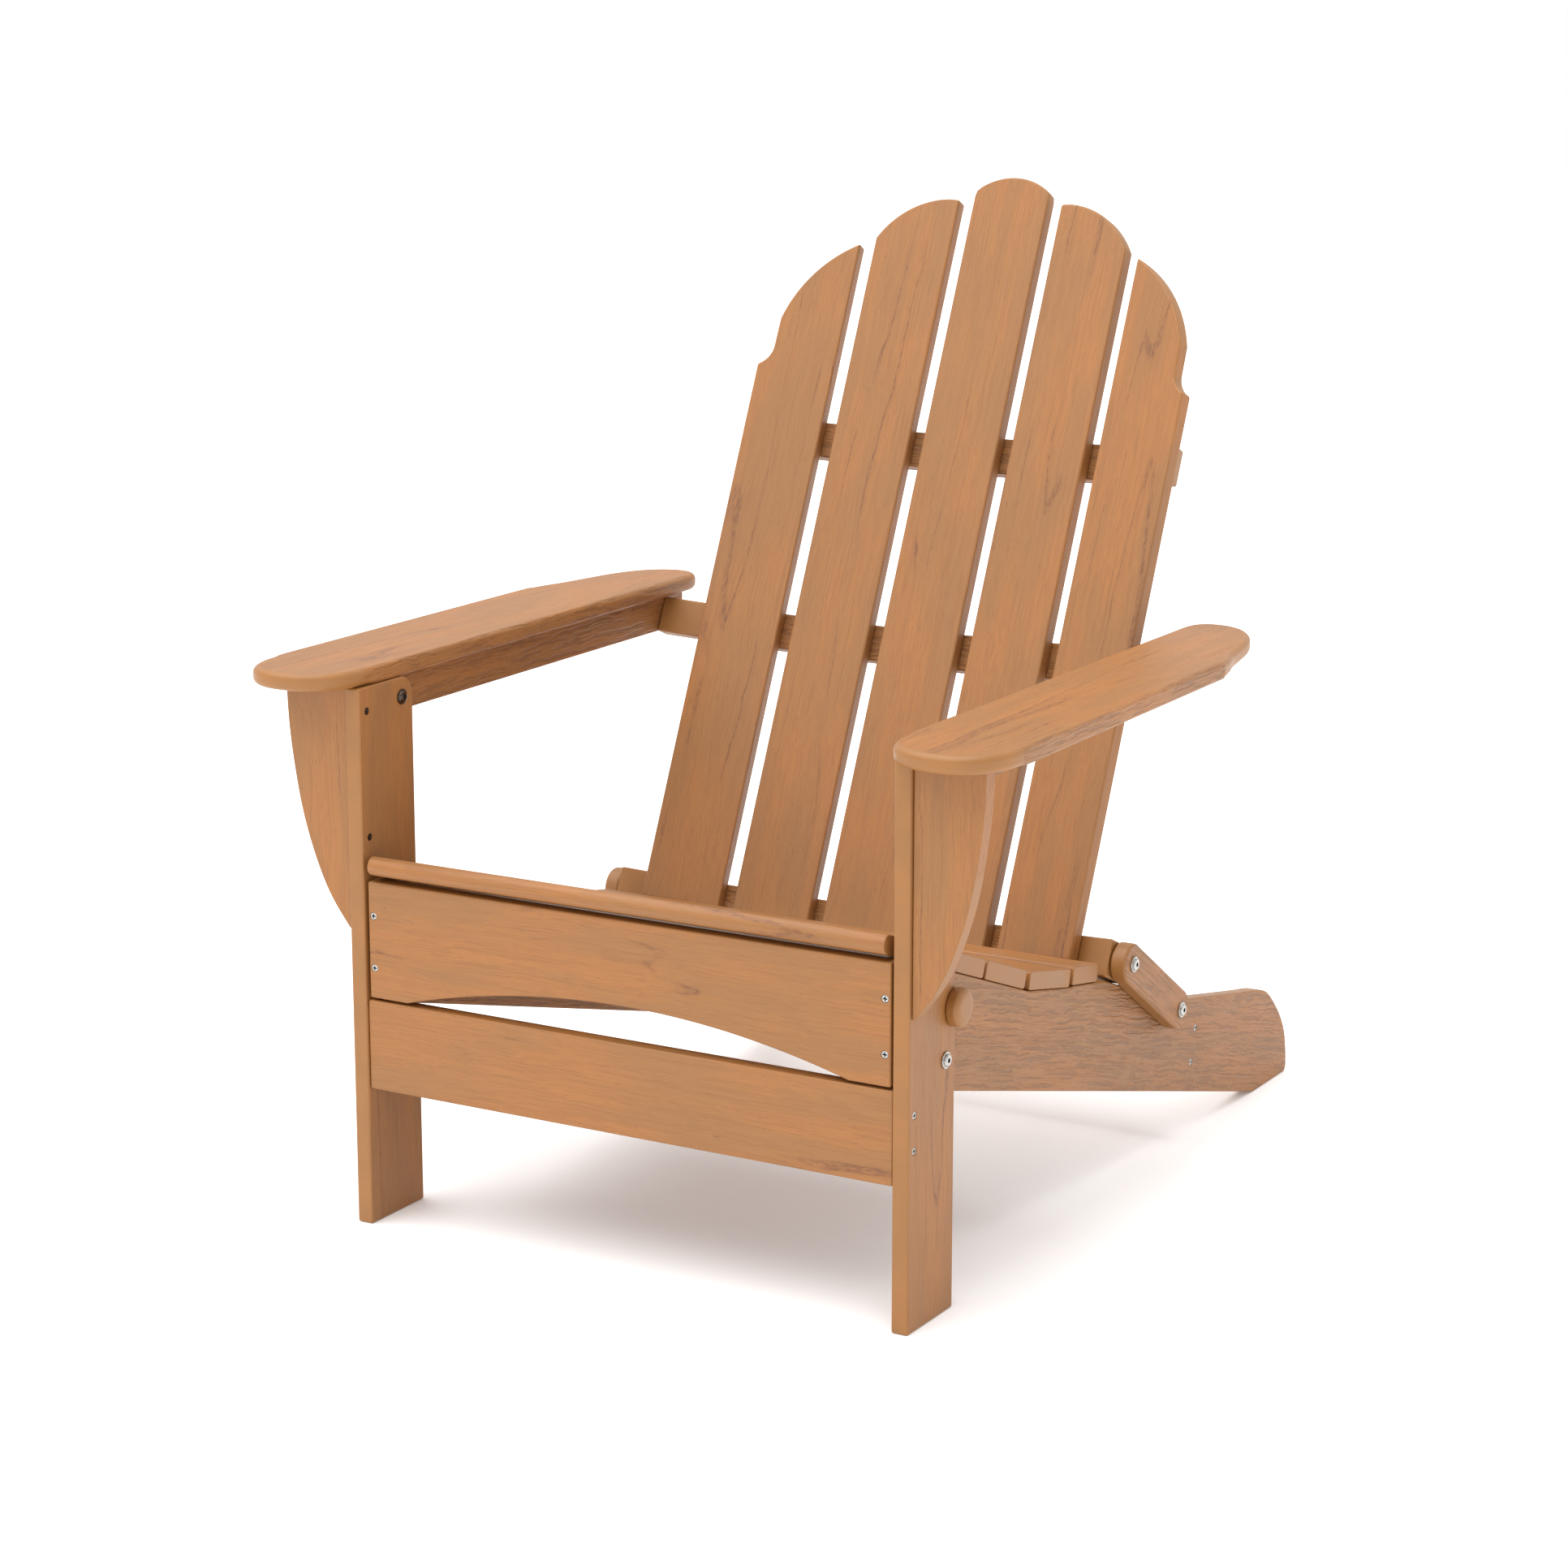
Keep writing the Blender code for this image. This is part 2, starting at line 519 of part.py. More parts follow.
# ---------------------------------------------------------------- back
OUTER_TOP = arc_through((43.4, 538.0), (-3.9, 497.7), (-28.5, 447.0), 10)
OUTER_TOP += arc(-53.0, 417.0, 24.0, 0, -66.4, 5)
INNER_TOP = [(43.4, 594.7)] + arc_through((32.0, 595.2), (-8.0, 583.0), (-43.4, 546.5), 9)
CROWN = arc(0.0, 555.1, 67.0, 56, 124, 8)
CENTRE_TOP = [(43.4, 599.5), (42.2, 606.0)] + CROWN + [(-42.2, 606.0), (-43.4, 599.5)]


def slat_outline(index):
    if index == 2:
        top = CENTRE_TOP
    else:
        top = OUTER_TOP if index in (0, 4) else INNER_TOP
        if index > 2:
            top = [(-a, b) for a, b in reversed(top)]
    return [(-SLAT_W / 2, SLAT_FOOT), (SLAT_W / 2, SLAT_FOOT)] + list(top)


for index in range(5):
    turn = (index - 2) * SLAT_PITCH / BACK_R

    def slat_place(a, s, depth, turn=turn):
        x = BACK_R * math.sin(turn) + a * math.cos(turn) + depth * math.sin(turn)
        d = BACK_R * math.cos(turn) - BACK_R - a * math.sin(turn) + depth * math.cos(turn)
        return back_point(x, s, d)

    outline = [p for i, p in enumerate(slat_outline(index))
               if i == 0 or (Vector(p) - Vector(slat_outline(index)[i - 1])).length > 0.4]
    bm = bmesh.new()
    add_prism(bm, outline, slat_place, 0.0, BOARD, edge=2.0, corner_angle=50.0)
    finish_object("back_slat_%d" % (index + 1), bm, "back")


def bar_outline(half, rear):
    """Plan of a bar in (x, d); rear None follows the front curve, a number is a flat rear face."""
    steps = 12
    front = []
    back = []
    for i in range(steps + 1):
        x = -half + 2.0 * half * i / steps
        front.append((x, math.sqrt(BAR_FRONT_R ** 2 - x * x) - BACK_R))
        if rear is None:
            back.append((x, math.sqrt(BAR_REAR_R ** 2 - x * x) - BACK_R))
    if rear is not None:
        back = [(-half, rear), (half, rear)]
    return front + list(reversed(back))


BARS = (
    ("back_bar_upper", BAR_UPPER_S, 246.0, None),
    ("back_bar_middle", BAR_MIDDLE_S, ARM_RAIL_IN - 0.5, None),
    ("back_bar_lower", BAR_LOWER_S, LEG_IN - 0.5, LOWER_BAR_REAR),
)
for name, middle, half, rear in BARS:
    bm = bmesh.new()
    add_prism(bm, bar_outline(half, rear), lambda a, d, depth: back_point(a, depth, d),
              middle - BAR_H / 2, middle + BAR_H / 2, edge=2.0, corner_angle=60.0)
    bar = finish_object(name, bm, "back")
    if name == "back_bar_upper":
        continue
    pivot = PIVOT_ARM_REAR if name == "back_bar_middle" else PIVOT_LINK_UPPER
    deep = 18.5 if name == "back_bar_middle" else 30.0
    drill(bar, "back", [((s * (half + 2), pivot[0], pivot[1]), (-s, 0, 0), [(0.0, HOLE_R), (deep, HOLE_R)])
                        for s in (-1, 1)])
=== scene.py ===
"""Visual model of the folding adirondack chair in wood-look plastic lumber.

Every shown piece is rebuilt in mesh code where its CAD node stands and rides on that node's body.
Lengths are millimetres, with Y measured from the front edge of the front legs, until a mesh is made.
"""

import json
import math

import bmesh
import bpy
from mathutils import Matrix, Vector


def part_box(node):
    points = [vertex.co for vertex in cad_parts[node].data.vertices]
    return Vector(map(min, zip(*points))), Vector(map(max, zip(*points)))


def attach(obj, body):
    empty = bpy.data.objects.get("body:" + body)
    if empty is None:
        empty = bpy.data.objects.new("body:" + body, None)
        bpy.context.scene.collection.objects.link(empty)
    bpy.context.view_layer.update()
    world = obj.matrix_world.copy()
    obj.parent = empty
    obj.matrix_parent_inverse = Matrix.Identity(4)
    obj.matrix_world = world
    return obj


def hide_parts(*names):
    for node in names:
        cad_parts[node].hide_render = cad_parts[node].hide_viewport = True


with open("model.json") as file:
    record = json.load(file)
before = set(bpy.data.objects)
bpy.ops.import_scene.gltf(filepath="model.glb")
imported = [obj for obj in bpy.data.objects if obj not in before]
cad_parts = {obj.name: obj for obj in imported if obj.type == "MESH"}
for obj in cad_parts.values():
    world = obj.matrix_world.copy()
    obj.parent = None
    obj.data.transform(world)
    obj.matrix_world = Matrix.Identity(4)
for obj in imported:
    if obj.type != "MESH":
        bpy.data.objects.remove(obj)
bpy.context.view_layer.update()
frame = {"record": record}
record = frame["record"]
BODY_OF = {node: body for body, nodes in record["behaviour"]["bodies"].items() for node in nodes}

MM = 0.001
CENTRE_Y = 430.3        # the frame's Y = 0, measured from the front edge of the front legs
GAP = 0.3               # clearance between parts that are fixed to each other
BOARD = 17.0
SEAT_BOARD = 18.0
HOLE_SIDES = 28
SIDES = (("left", -1), ("right", 1))
LEVELS = ("upper", "lower")


# ------------------------------------------------------------------ node trees
class Tree:
    """Short calls for building a node-based material."""

    def __init__(self, name, diffuse):
        self.material = bpy.data.materials.new(name)
        self.material.use_nodes = True
        self.material.diffuse_color = (*diffuse, 1.0)
        self.nodes = self.material.node_tree.nodes
        self.links = self.material.node_tree.links
        self.shader = self.nodes["Principled BSDF"]

    def feed(self, socket, value):
        if isinstance(value, bpy.types.NodeSocket):
            self.links.new(value, socket)
        elif value is not None:
            socket.default_value = value

    def math(self, operation, a, b=None, c=None):
        node = self.nodes.new("ShaderNodeMath")
        node.operation = operation
        for socket, value in zip(node.inputs, (a, b, c)):
            self.feed(socket, value)
        return node.outputs[0]

    def vector(self, operation, a, b=None):
        node = self.nodes.new("ShaderNodeVectorMath")
        node.operation = operation
        for socket, value in zip(node.inputs, (a, b)):
            self.feed(socket, value)
        return node.outputs[0]

    def noise(self, vector, scale=1.0, detail=2.0, roughness=0.5, colour=False):
        node = self.nodes.new("ShaderNodeTexNoise")
        self.feed(node.inputs["Vector"], vector)
        for label, value in (("Scale", scale), ("Detail", detail), ("Roughness", roughness)):
            node.inputs[label].default_value = value
        return node.outputs["Color" if colour else "Fac"]

    def span(self, value, low, high, to_low=0.0, to_high=1.0, smooth=True):
        node = self.nodes.new("ShaderNodeMapRange")
        node.interpolation_type = "SMOOTHSTEP" if smooth else "LINEAR"
        for label, number in (("From Min", low), ("From Max", high),
                              ("To Min", to_low), ("To Max", to_high)):
            node.inputs[label].default_value = number
        self.feed(node.inputs["Value"], value)
        return node.outputs["Result"]

    def mix(self, factor, a, b):
        node = self.nodes.new("ShaderNodeMix")
        node.data_type = "RGBA"
        self.feed(node.inputs[0], factor)
        for socket, value in ((node.inputs[6], a), (node.inputs[7], b)):
            self.feed(socket, (*value, 1.0) if isinstance(value, tuple) else value)
        return node.outputs[2]

    def bump(self, height, distance, strength):
        node = self.nodes.new("ShaderNodeBump")
        node.inputs["Strength"].default_value = strength
        node.inputs["Distance"].default_value = distance
        self.feed(node.inputs["Height"], height)
        return node.outputs["Normal"]

    def place(self):
        """Coordinates with X along the piece's grain, shifted by a different amount on every piece."""
        attribute = self.nodes.new("ShaderNodeAttribute")
        attribute.attribute_name = "grain"
        coordinates = attribute.outputs["Vector"]
        chance = self.nodes.new("ShaderNodeObjectInfo").outputs["Random"]
        shift = self.vector("MULTIPLY", self.combine(chance, chance, chance), (31.7, 17.3, 23.9))
        return self.vector("ADD", coordinates, shift)

    def combine(self, x, y, z):
        node = self.nodes.new("ShaderNodeCombineXYZ")
        for socket, value in zip(node.inputs, (x, y, z)):
            self.feed(socket, value)
        return node.outputs[0]


def linear(red, green, blue):
    """Linear colour of an 8-bit display colour."""
    return tuple((v / 255 / 12.92) if v <= 10 else ((v / 255 + 0.055) / 1.055) ** 2.4
                 for v in (red, green, blue))


# display colours of the plastic: three tans of the board, its markings, the painted shade of its grooves, and
# its cut faces
TAN = linear(154, 103, 53)
TAN_WARM = linear(158, 103, 51)
TAN_BROWN = linear(147, 100, 54)
VEIN = linear(98, 56, 34)
STREAK_DARK = linear(133, 88, 47)
GROOVE_SHADE = linear(108, 73, 43)
CUT = linear(149, 100, 50)
CUT_DARK = linear(145, 98, 49)
CUT_LIGHT = linear(152, 102, 51)
PLASTIC_IOR = 1.49
MIDDLE = (0.5, 0.5, 0.5)


def lumber(name, emboss, vein=1.0, ridged=False):
    """Wood-look plastic board: mottled tan, lengthwise streaks, thin wandering veins, embossed grain."""
    t = Tree(name, TAN)
    at = t.place()
    wander = t.vector("SUBTRACT", t.noise(at, scale=9.0, detail=3.0, roughness=0.6, colour=True), MIDDLE)
    at = t.vector("ADD", at, t.vector("MULTIPLY", wander, (0.0, 0.010, 0.010)))

    mottle = t.noise(t.vector("MULTIPLY", at, (6.0, 30.0, 30.0)), detail=2.0)
    cloud = t.noise(t.vector("MULTIPLY", at, (16.0, 60.0, 60.0)), detail=4.0, roughness=0.6)
    streak = t.noise(t.vector("MULTIPLY", at, (7.0, 700.0, 700.0)), detail=4.0, roughness=0.66)
    hair = t.noise(t.vector("MULTIPLY", at, (22.0, 1250.0, 1250.0)), detail=2.0, roughness=0.6)
    band = t.noise(t.vector("MULTIPLY", at, (4.0, 150.0, 150.0)), detail=3.0, roughness=0.55)

    colour = t.mix(t.span(mottle, 0.36, 0.64), TAN_BROWN, TAN_WARM)
    colour = t.mix(t.math("MULTIPLY", t.span(cloud, 0.52, 0.74), 0.20), colour, STREAK_DARK)
    colour = t.mix(t.math("MULTIPLY", t.span(band, 0.50, 0.72), 0.20), colour, STREAK_DARK)
    colour = t.mix(t.math("MULTIPLY", t.span(streak, 0.50, 0.62), 0.50), colour, STREAK_DARK)
    colour = t.mix(t.math("MULTIPLY", t.span(hair, 0.50, 0.62), 0.42), colour, STREAK_DARK)

    # veins: level lines of a long stretched noise, broken along their length
    jitter = t.vector("SUBTRACT", t.noise(t.vector("MULTIPLY", at, (70.0, 70.0, 70.0)), detail=3.0,
                                          roughness=0.7, colour=True), MIDDLE)
    crooked = t.vector("ADD", at, t.vector("MULTIPLY", jitter, (0.0, 0.0028, 0.0028)))
    field = t.noise(t.vector("MULTIPLY", crooked, (1.3, 19.0, 19.0)), detail=1.0)
    line = t.span(t.math("ABSOLUTE", t.math("SUBTRACT", field, 0.53)), 0.0030, 0.0125, 1.0, 0.0)
    halo = t.span(t.math("ABSOLUTE", t.math("SUBTRACT", field, 0.53)), 0.0, 0.04, 1.0, 0.0)
    broken = t.span(t.noise(t.vector("MULTIPLY", at, (6.0, 18.0, 18.0)), detail=3.0, roughness=0.65),
                    0.44, 0.62)
    fine = t.span(t.noise(t.vector("MULTIPLY", at, (120.0, 420.0, 420.0)), detail=2.0),
                  0.38, 0.62, 0.25, 1.0)
    line = t.math("MULTIPLY", t.math("MULTIPLY", line, broken), fine)
    fleck = t.span(t.noise(t.vector("MULTIPLY", at, (85.0, 520.0, 520.0)), detail=1.0), 0.73, 0.80)
    colour = t.mix(t.math("MULTIPLY", t.math("MULTIPLY", halo, broken), 0.22 * vein), colour, STREAK_DARK)
    colour = t.mix(t.math("MULTIPLY", line, 0.62 * vein), colour, VEIN)
    colour = t.mix(t.math("MULTIPLY", fleck, 0.40), colour, VEIN)

    height = t.math("MULTIPLY_ADD", streak, 0.55, t.math("MULTIPLY", band, 0.45))
    height = t.math("SUBTRACT", height, t.math("MULTIPLY", line, 0.6))
    if ridged:
        # grooves: a coarser noise along the grain that deepens its low parts and darkens them with painted
        # shade
        sway = t.vector("SUBTRACT", t.noise(t.vector("MULTIPLY", at, (38.0, 38.0, 38.0)), detail=2.0,
                                            colour=True), MIDDLE)
        swayed = t.vector("ADD", at, t.vector("MULTIPLY", sway, (0.0, 0.006, 0.006)))
        ridge = t.noise(t.vector("MULTIPLY", swayed, (14.0, 300.0, 300.0)), detail=2.0, roughness=0.5)
        deep = t.span(ridge, 0.34, 0.62)
        # painted shade: the grooves' low parts take a darker colour
        colour = t.mix(t.span(ridge, 0.49, 0.38, 0.0, 0.50), colour, GROOVE_SHADE)
        height = t.math("MULTIPLY_ADD", deep, 2.6, height)
    roughness = t.span(streak, 0.3, 0.7, 0.44, 0.56, smooth=False)
    t.feed(t.shader.inputs["Base Color"], colour)
    t.feed(t.shader.inputs["Roughness"], roughness)
    t.feed(t.shader.inputs["Normal"], t.bump(height, emboss * MM, 0.75))
    t.shader.inputs["IOR"].default_value = PLASTIC_IOR
    return t.material


def routed(name):
    """Smooth cut or routed surface of the same plastic, with faint tool marks."""
    t = Tree(name, CUT)
    at = t.place()
    cloud = t.noise(at, scale=26.0, detail=3.0, roughness=0.55)
    fine = t.noise(at, scale=620.0, detail=2.0)
    marks = t.noise(t.vector("MULTIPLY", at, (160.0, 160.0, 900.0)), detail=2.0)
    colour = t.mix(t.span(cloud, 0.35, 0.68), CUT_DARK, CUT_LIGHT)
    colour = t.mix(t.math("MULTIPLY", t.span(fine, 0.58, 0.72), 0.22), colour, STREAK_DARK)
    t.feed(t.shader.inputs["Base Color"], colour)
    t.feed(t.shader.inputs["Roughness"], t.span(cloud, 0.3, 0.7, 0.40, 0.50, smooth=False))
    height = t.math("MULTIPLY_ADD", marks, 0.5, t.math("MULTIPLY", fine, 0.5))
    t.feed(t.shader.inputs["Normal"], t.bump(height, 0.06 * MM, 0.5))
    t.shader.inputs["IOR"].default_value = PLASTIC_IOR
    return t.material


def metal(name, light, dark, rough_low, rough_high):
    """Machined fastener metal: fine turning marks and a little tarnish."""
    t = Tree(name, light)
    at = t.place()
    turning = t.noise(t.vector("MULTIPLY", at, (2600.0, 2600.0, 500.0)), detail=2.0)
    tarnish = t.noise(at, scale=330.0, detail=4.0, roughness=0.6)
    colour = t.mix(t.span(tarnish, 0.42, 0.70), light, dark)
    t.feed(t.shader.inputs["Base Color"], colour)
    t.shader.inputs["Metallic"].default_value = 1.0
    t.feed(t.shader.inputs["Roughness"], t.span(turning, 0.3, 0.7, rough_low, rough_high, smooth=False))
    t.feed(t.shader.inputs["Normal"], t.bump(turning, 0.03 * MM, 0.4))
    return t.material


PLANED = lumber("lumber_planed", emboss=0.22)
RIDGED = lumber("lumber_ridged", emboss=0.34, vein=0.7, ridged=True)
ROUTED = routed("lumber_routed")
STEEL = metal("stainless_steel", (0.50, 0.49, 0.465), (0.32, 0.31, 0.295), 0.26, 0.40)
# dark chrome of the barrel nuts; on the bracket screws the same dark colour is painted shade of the holes
# they sit in
DARK_STEEL_AND_HOLE_SHADE = metal("darkened_steel_and_hole_shade", (0.10, 0.075, 0.06), (0.045, 0.035, 0.03), 0.14, 0.26)
# painted shade: the floors and walls of sockets and cross recesses take a near-black colour
RECESS_SHADE = metal("recess_shadow", (0.055, 0.052, 0.05), (0.03, 0.03, 0.03), 0.45, 0.6)


# ------------------------------------------------------------------ mesh makers
def write_grain(obj, grain, normal):
    """Store coordinates in metres on every vertex: X along the grain, Z along the board's thickness."""
    x_axis = Vector(grain).normalized()
    z_axis = Vector(normal).normalized()
    y_axis = z_axis.cross(x_axis).normalized()
    layer = obj.data.attributes.new("grain", "FLOAT_VECTOR", "POINT")
    for vert, item in zip(obj.data.vertices, layer.data):
        item.vector = (vert.co.dot(x_axis), vert.co.dot(y_axis), vert.co.dot(z_axis))


def make_piece(node, bm, materials, grain=(1, 0, 0), normal=(0, 0, 1), smooth_angle=32.0,
               holes=(), notch=None):
    """Turn design-millimetre geometry into the piece that stands for a CAD node.

    holes and notch are cut out of it, as drill() takes them."""
    low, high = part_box(node)
    centre = (low + high) / 2
    bmesh.ops.remove_doubles(bm, verts=bm.verts, dist=0.004)
    bmesh.ops.recalc_face_normals(bm, faces=bm.faces)
    obj = link_mesh(node + "_visual", bm, centre, materials)
    if holes:
        drill(obj, holes, notch)
    write_grain(obj, grain, normal)
    mesh = obj.data
    mesh.polygons.foreach_set("use_smooth", [True] * len(mesh.polygons))
    mesh.set_sharp_from_angle(angle=math.radians(smooth_angle))
    obj.modifiers.new("flat_faces", "WEIGHTED_NORMAL").keep_sharp = True
    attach(obj, BODY_OF[node])
    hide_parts(node)
    return obj


def link_mesh(name, bm, centre, materials):
    """Object made from design-millimetre geometry: metres, with its origin at centre."""
    for vert in bm.verts:
        vert.co = Vector((vert.co.x, vert.co.y - CENTRE_Y, vert.co.z)) * MM - centre
    mesh = bpy.data.meshes.new(name)
    bm.to_mesh(mesh)
    bm.free()
    for mat in materials:
        mesh.materials.append(mat)
    obj = bpy.data.objects.new(name, mesh)
    bpy.context.scene.collection.objects.link(obj)
    obj.location = centre
    return obj


def drill(obj, holes, notch=None):
    """Cut holes and a notch, in design millimetres, out of a piece.

    Each hole is (point, direction, profile) for add_turned, and notch is (outline, place, near, far)
    for add_prism. The cut faces take the routed material."""
    bm = bmesh.new()
    if notch:
        add_prism(bm, *notch, edge=0.0, side_kind=0, cut_kind=0)
    for point, direction, profile in holes:
        add_turned(bm, point, direction, profile, HOLE_SIDES)
    bmesh.ops.recalc_face_normals(bm, faces=bm.faces)
    cutter = link_mesh("cutter", bm, Vector((0, 0, 0)), (ROUTED,))
    modifier = obj.modifiers.new("holes", "BOOLEAN")
    modifier.operation = "DIFFERENCE"
    modifier.solver = "EXACT"
    modifier.object = cutter
    modifier.material_mode = "TRANSFER"
    bpy.context.view_layer.update()
    with bpy.context.temp_override(object=obj, active_object=obj, selected_objects=[obj]):
        bpy.ops.object.modifier_apply(modifier="holes")
    bpy.data.objects.remove(cutter, do_unlink=True)


def arc(cx, cy, radius, start, end, count):
    """Points of an arc, angles in degrees, both ends included."""
    points = []
    for i in range(count + 1):
        a = math.radians(start + (end - start) * i / count)
        points.append((cx + radius * math.cos(a), cy + radius * math.sin(a)))
    return points


def arc_through(first, middle, last, count):
    """Points of the circular arc from first to last that passes through middle."""
    (ax, ay), (bx, by), (cx, cy) = first, middle, last
    scale = 2.0 * (ax * (by - cy) + bx * (cy - ay) + cx * (ay - by))
    a2, b2, c2 = ax ** 2 + ay ** 2, bx ** 2 + by ** 2, cx ** 2 + cy ** 2
    ux = (a2 * (by - cy) + b2 * (cy - ay) + c2 * (ay - by)) / scale
    uy = (a2 * (cx - bx) + b2 * (ax - cx) + c2 * (bx - ax)) / scale
    start = math.degrees(math.atan2(ay - uy, ax - ux))
    turn = math.degrees(math.atan2(cy - uy, cx - ux)) - start
    via = math.degrees(math.atan2(by - uy, bx - ux)) - start
    turn, via = turn % 360.0, via % 360.0
    if via > turn:
        turn -= 360.0
    return arc(ux, uy, math.hypot(ax - ux, ay - uy), start, start + turn, count)


def smooth_run(points, count):
    """Points of a smooth (Catmull-Rom) curve through the given ones, count to each stretch."""
    result = []
    for i in range(len(points) - 1):
        p0 = Vector(points[max(i - 1, 0)])
        p1, p2 = Vector(points[i]), Vector(points[i + 1])
        p3 = Vector(points[min(i + 2, len(points) - 1)])
        for k in range(count):
            t = k / count
            result.append(tuple(0.5 * (2 * p1 + (p2 - p0) * t + (2 * p0 - 5 * p1 + 4 * p2 - p3) * t ** 2
                                       + (3 * p1 - p0 - 3 * p2 + p3) * t ** 3)))
    result.append(tuple(points[-1]))
    return result


def tidy_outline(points, least=0.35):
    """The outline without points closer than least to the one before."""
    kept = []
    for point in points:
        if not kept or (Vector(point) - Vector(kept[-1])).length > least:
            kept.append(point)
    if (Vector(kept[0]) - Vector(kept[-1])).length <= least:
        kept.pop()
    return kept


def add_prism(bm, outline, place, near, far, edge=2.2, corner_angle=35.0, segments=4,
              grain=None, side_kind=1, cut_kind=2, face_kind=0):
    """Extrude an outline between two depths; place(a, b, depth) gives the point.

    grain is the outline's lengthwise direction: sides along it take side_kind, the others cut_kind.
    Without grain every side takes side_kind, and the two flat faces take face_kind.
    The rims, and outline corners sharper than corner_angle, are rounded by edge."""
    outline = tidy_outline(outline)
    count = len(outline)
    rings = [[bm.verts.new(place(a, b, depth)) for a, b in outline] for depth in (near, far)]
    caps = [bm.faces.new(rings[0]), bm.faces.new(list(reversed(rings[1])))]
    for cap in caps:
        cap.material_index = face_kind
    faces = list(caps)
    for i in range(count):
        j = (i + 1) % count
        side = bm.faces.new((rings[0][i], rings[0][j], rings[1][j], rings[1][i]))
        run = Vector(outline[j]) - Vector(outline[i])
        along = grain is None or abs(run.normalized().dot(Vector(grain).normalized())) > 0.985
        side.material_index = side_kind if along else cut_kind
        faces.append(side)
    bmesh.ops.recalc_face_normals(bm, faces=faces)
    if edge <= 0.0:
        return
    rim = []
    for ring in rings:
        for i in range(count):
            rim.append(bm.edges.get((ring[i], ring[(i + 1) % count])))
    for i in range(count):
        before = Vector(outline[i]) - Vector(outline[i - 1])
        after = Vector(outline[(i + 1) % count]) - Vector(outline[i])
        if math.degrees(before.angle(after)) > corner_angle:
            rim.append(bm.edges.get((rings[0][i], rings[1][i])))
    bmesh.ops.bevel(bm, geom=rim, offset=edge, offset_type="OFFSET", segments=segments,
                    profile=0.5, affect="EDGES", clamp_overlap=True, material=-1)


def add_slab(bm, outline, radii, low, high, steps):
    """Board lying flat: plan outline, rims rounded by the radius given for each outline point.

    Each rounding has the given number of steps. Side faces along the board's length take
    material 1, the others material 2."""
    count = len(outline)
    points = [Vector(point) for point in outline]
    area = sum(points[i - 1].x * points[i].y - points[i].x * points[i - 1].y for i in range(count))
    outwards = []
    for i in range(count):
        before = (points[i] - points[i - 1]).normalized()
        after = (points[(i + 1) % count] - points[i]).normalized()
        run = (before + after).normalized()
        outwards.append(Vector((run.y, -run.x)) * math.copysign(1.0, area))
    rings = []
    for k in list(range(steps + 1)) + list(range(steps, -1, -1)):
        angle = math.pi / 2 * k / steps
        upper = len(rings) > steps
        ring = []
        for point, normal, radius in zip(points, outwards, radii):
            at = point - normal * radius * (1.0 - math.sin(angle))
            lift = radius * (1.0 - math.cos(angle))
            ring.append(bm.verts.new((at.x, at.y, high - lift if upper else low + lift)))
        rings.append(ring)
    low_face = bm.faces.new(rings[0])
    high_face = bm.faces.new(list(reversed(rings[-1])))
    low_face.material_index = high_face.material_index = 0
    for lower, upper in zip(rings, rings[1:]):
        for i in range(count):
            j = (i + 1) % count
            face = bm.faces.new((lower[i], lower[j], upper[j], upper[i]))
            face.material_index = 1 if abs((points[j] - points[i]).normalized().y) > 0.999 else 2


def add_turned(bm, point, direction, profile, sides=32, kinds=None):
    """Solid of revolution: profile is (distance along the direction, radius) from end to end.

    A radius may be a function of the angle, for recesses that aren't round."""
    direction = Vector(direction).normalized()
    helper = Vector((0, 0, 1)) if abs(direction.z) < 0.9 else Vector((0, 1, 0))
    u = direction.cross(helper).normalized()
    v = direction.cross(u).normalized()
    start = Vector(point)
    rings = []
    for along, radius in profile:
        ring = []
        for i in range(sides):
            a = 2.0 * math.pi * i / sides
            r = radius(a) if callable(radius) else radius
            ring.append(bm.verts.new(start + direction * along + (u * math.cos(a) + v * math.sin(a)) * r))
        rings.append(ring)
    first = bm.faces.new(rings[0])
    last = bm.faces.new(list(reversed(rings[-1])))
    first.material_index = kinds[0] if kinds else 0
    last.material_index = kinds[-1] if kinds else 0
    for level, (lower, upper) in enumerate(zip(rings, rings[1:])):
        for i in range(sides):
            j = (i + 1) % sides
            face = bm.faces.new((lower[i], lower[j], upper[j], upper[i]))
            face.material_index = kinds[level] if kinds else 0


def side_place(side):
    """Outline in (y, z), depth across the chair from the middle, on the given side."""
    return lambda a, b, depth: (side * depth, a, b)


def across_place(a, b, depth):
    """Outline in (y, z), depth across the chair."""
    return (depth, a, b)


def front_place(a, b, depth):
    """Outline in (x, z), depth towards the rear."""
    return (a, depth, b)


# ------------------------------------------------------------------ layout
# across the chair: side rails, front legs, arm rails
RAIL_OUT = 285.4
RAIL_IN = RAIL_OUT - BOARD
LEG_IN = 285.9
LEG_OUT = LEG_IN + BOARD
ARM_RAIL_IN = LEG_OUT + 0.5
ARM_RAIL_OUT = ARM_RAIL_IN + BOARD
# pivots and stop knob, as (y, z)
PIVOT_LEG = (68.0, 240.0)
PIVOT_ARM_FRONT = (68.0, 510.0)
PIVOT_LINK_LOWER = (581.5, 155.0)
KNOB = (83.5, 286.0)
KNOB_SHANK_R = 6.0
NOTCH_R = 6.45
HOLE_R = 4.35
SHANK_R = 4.0
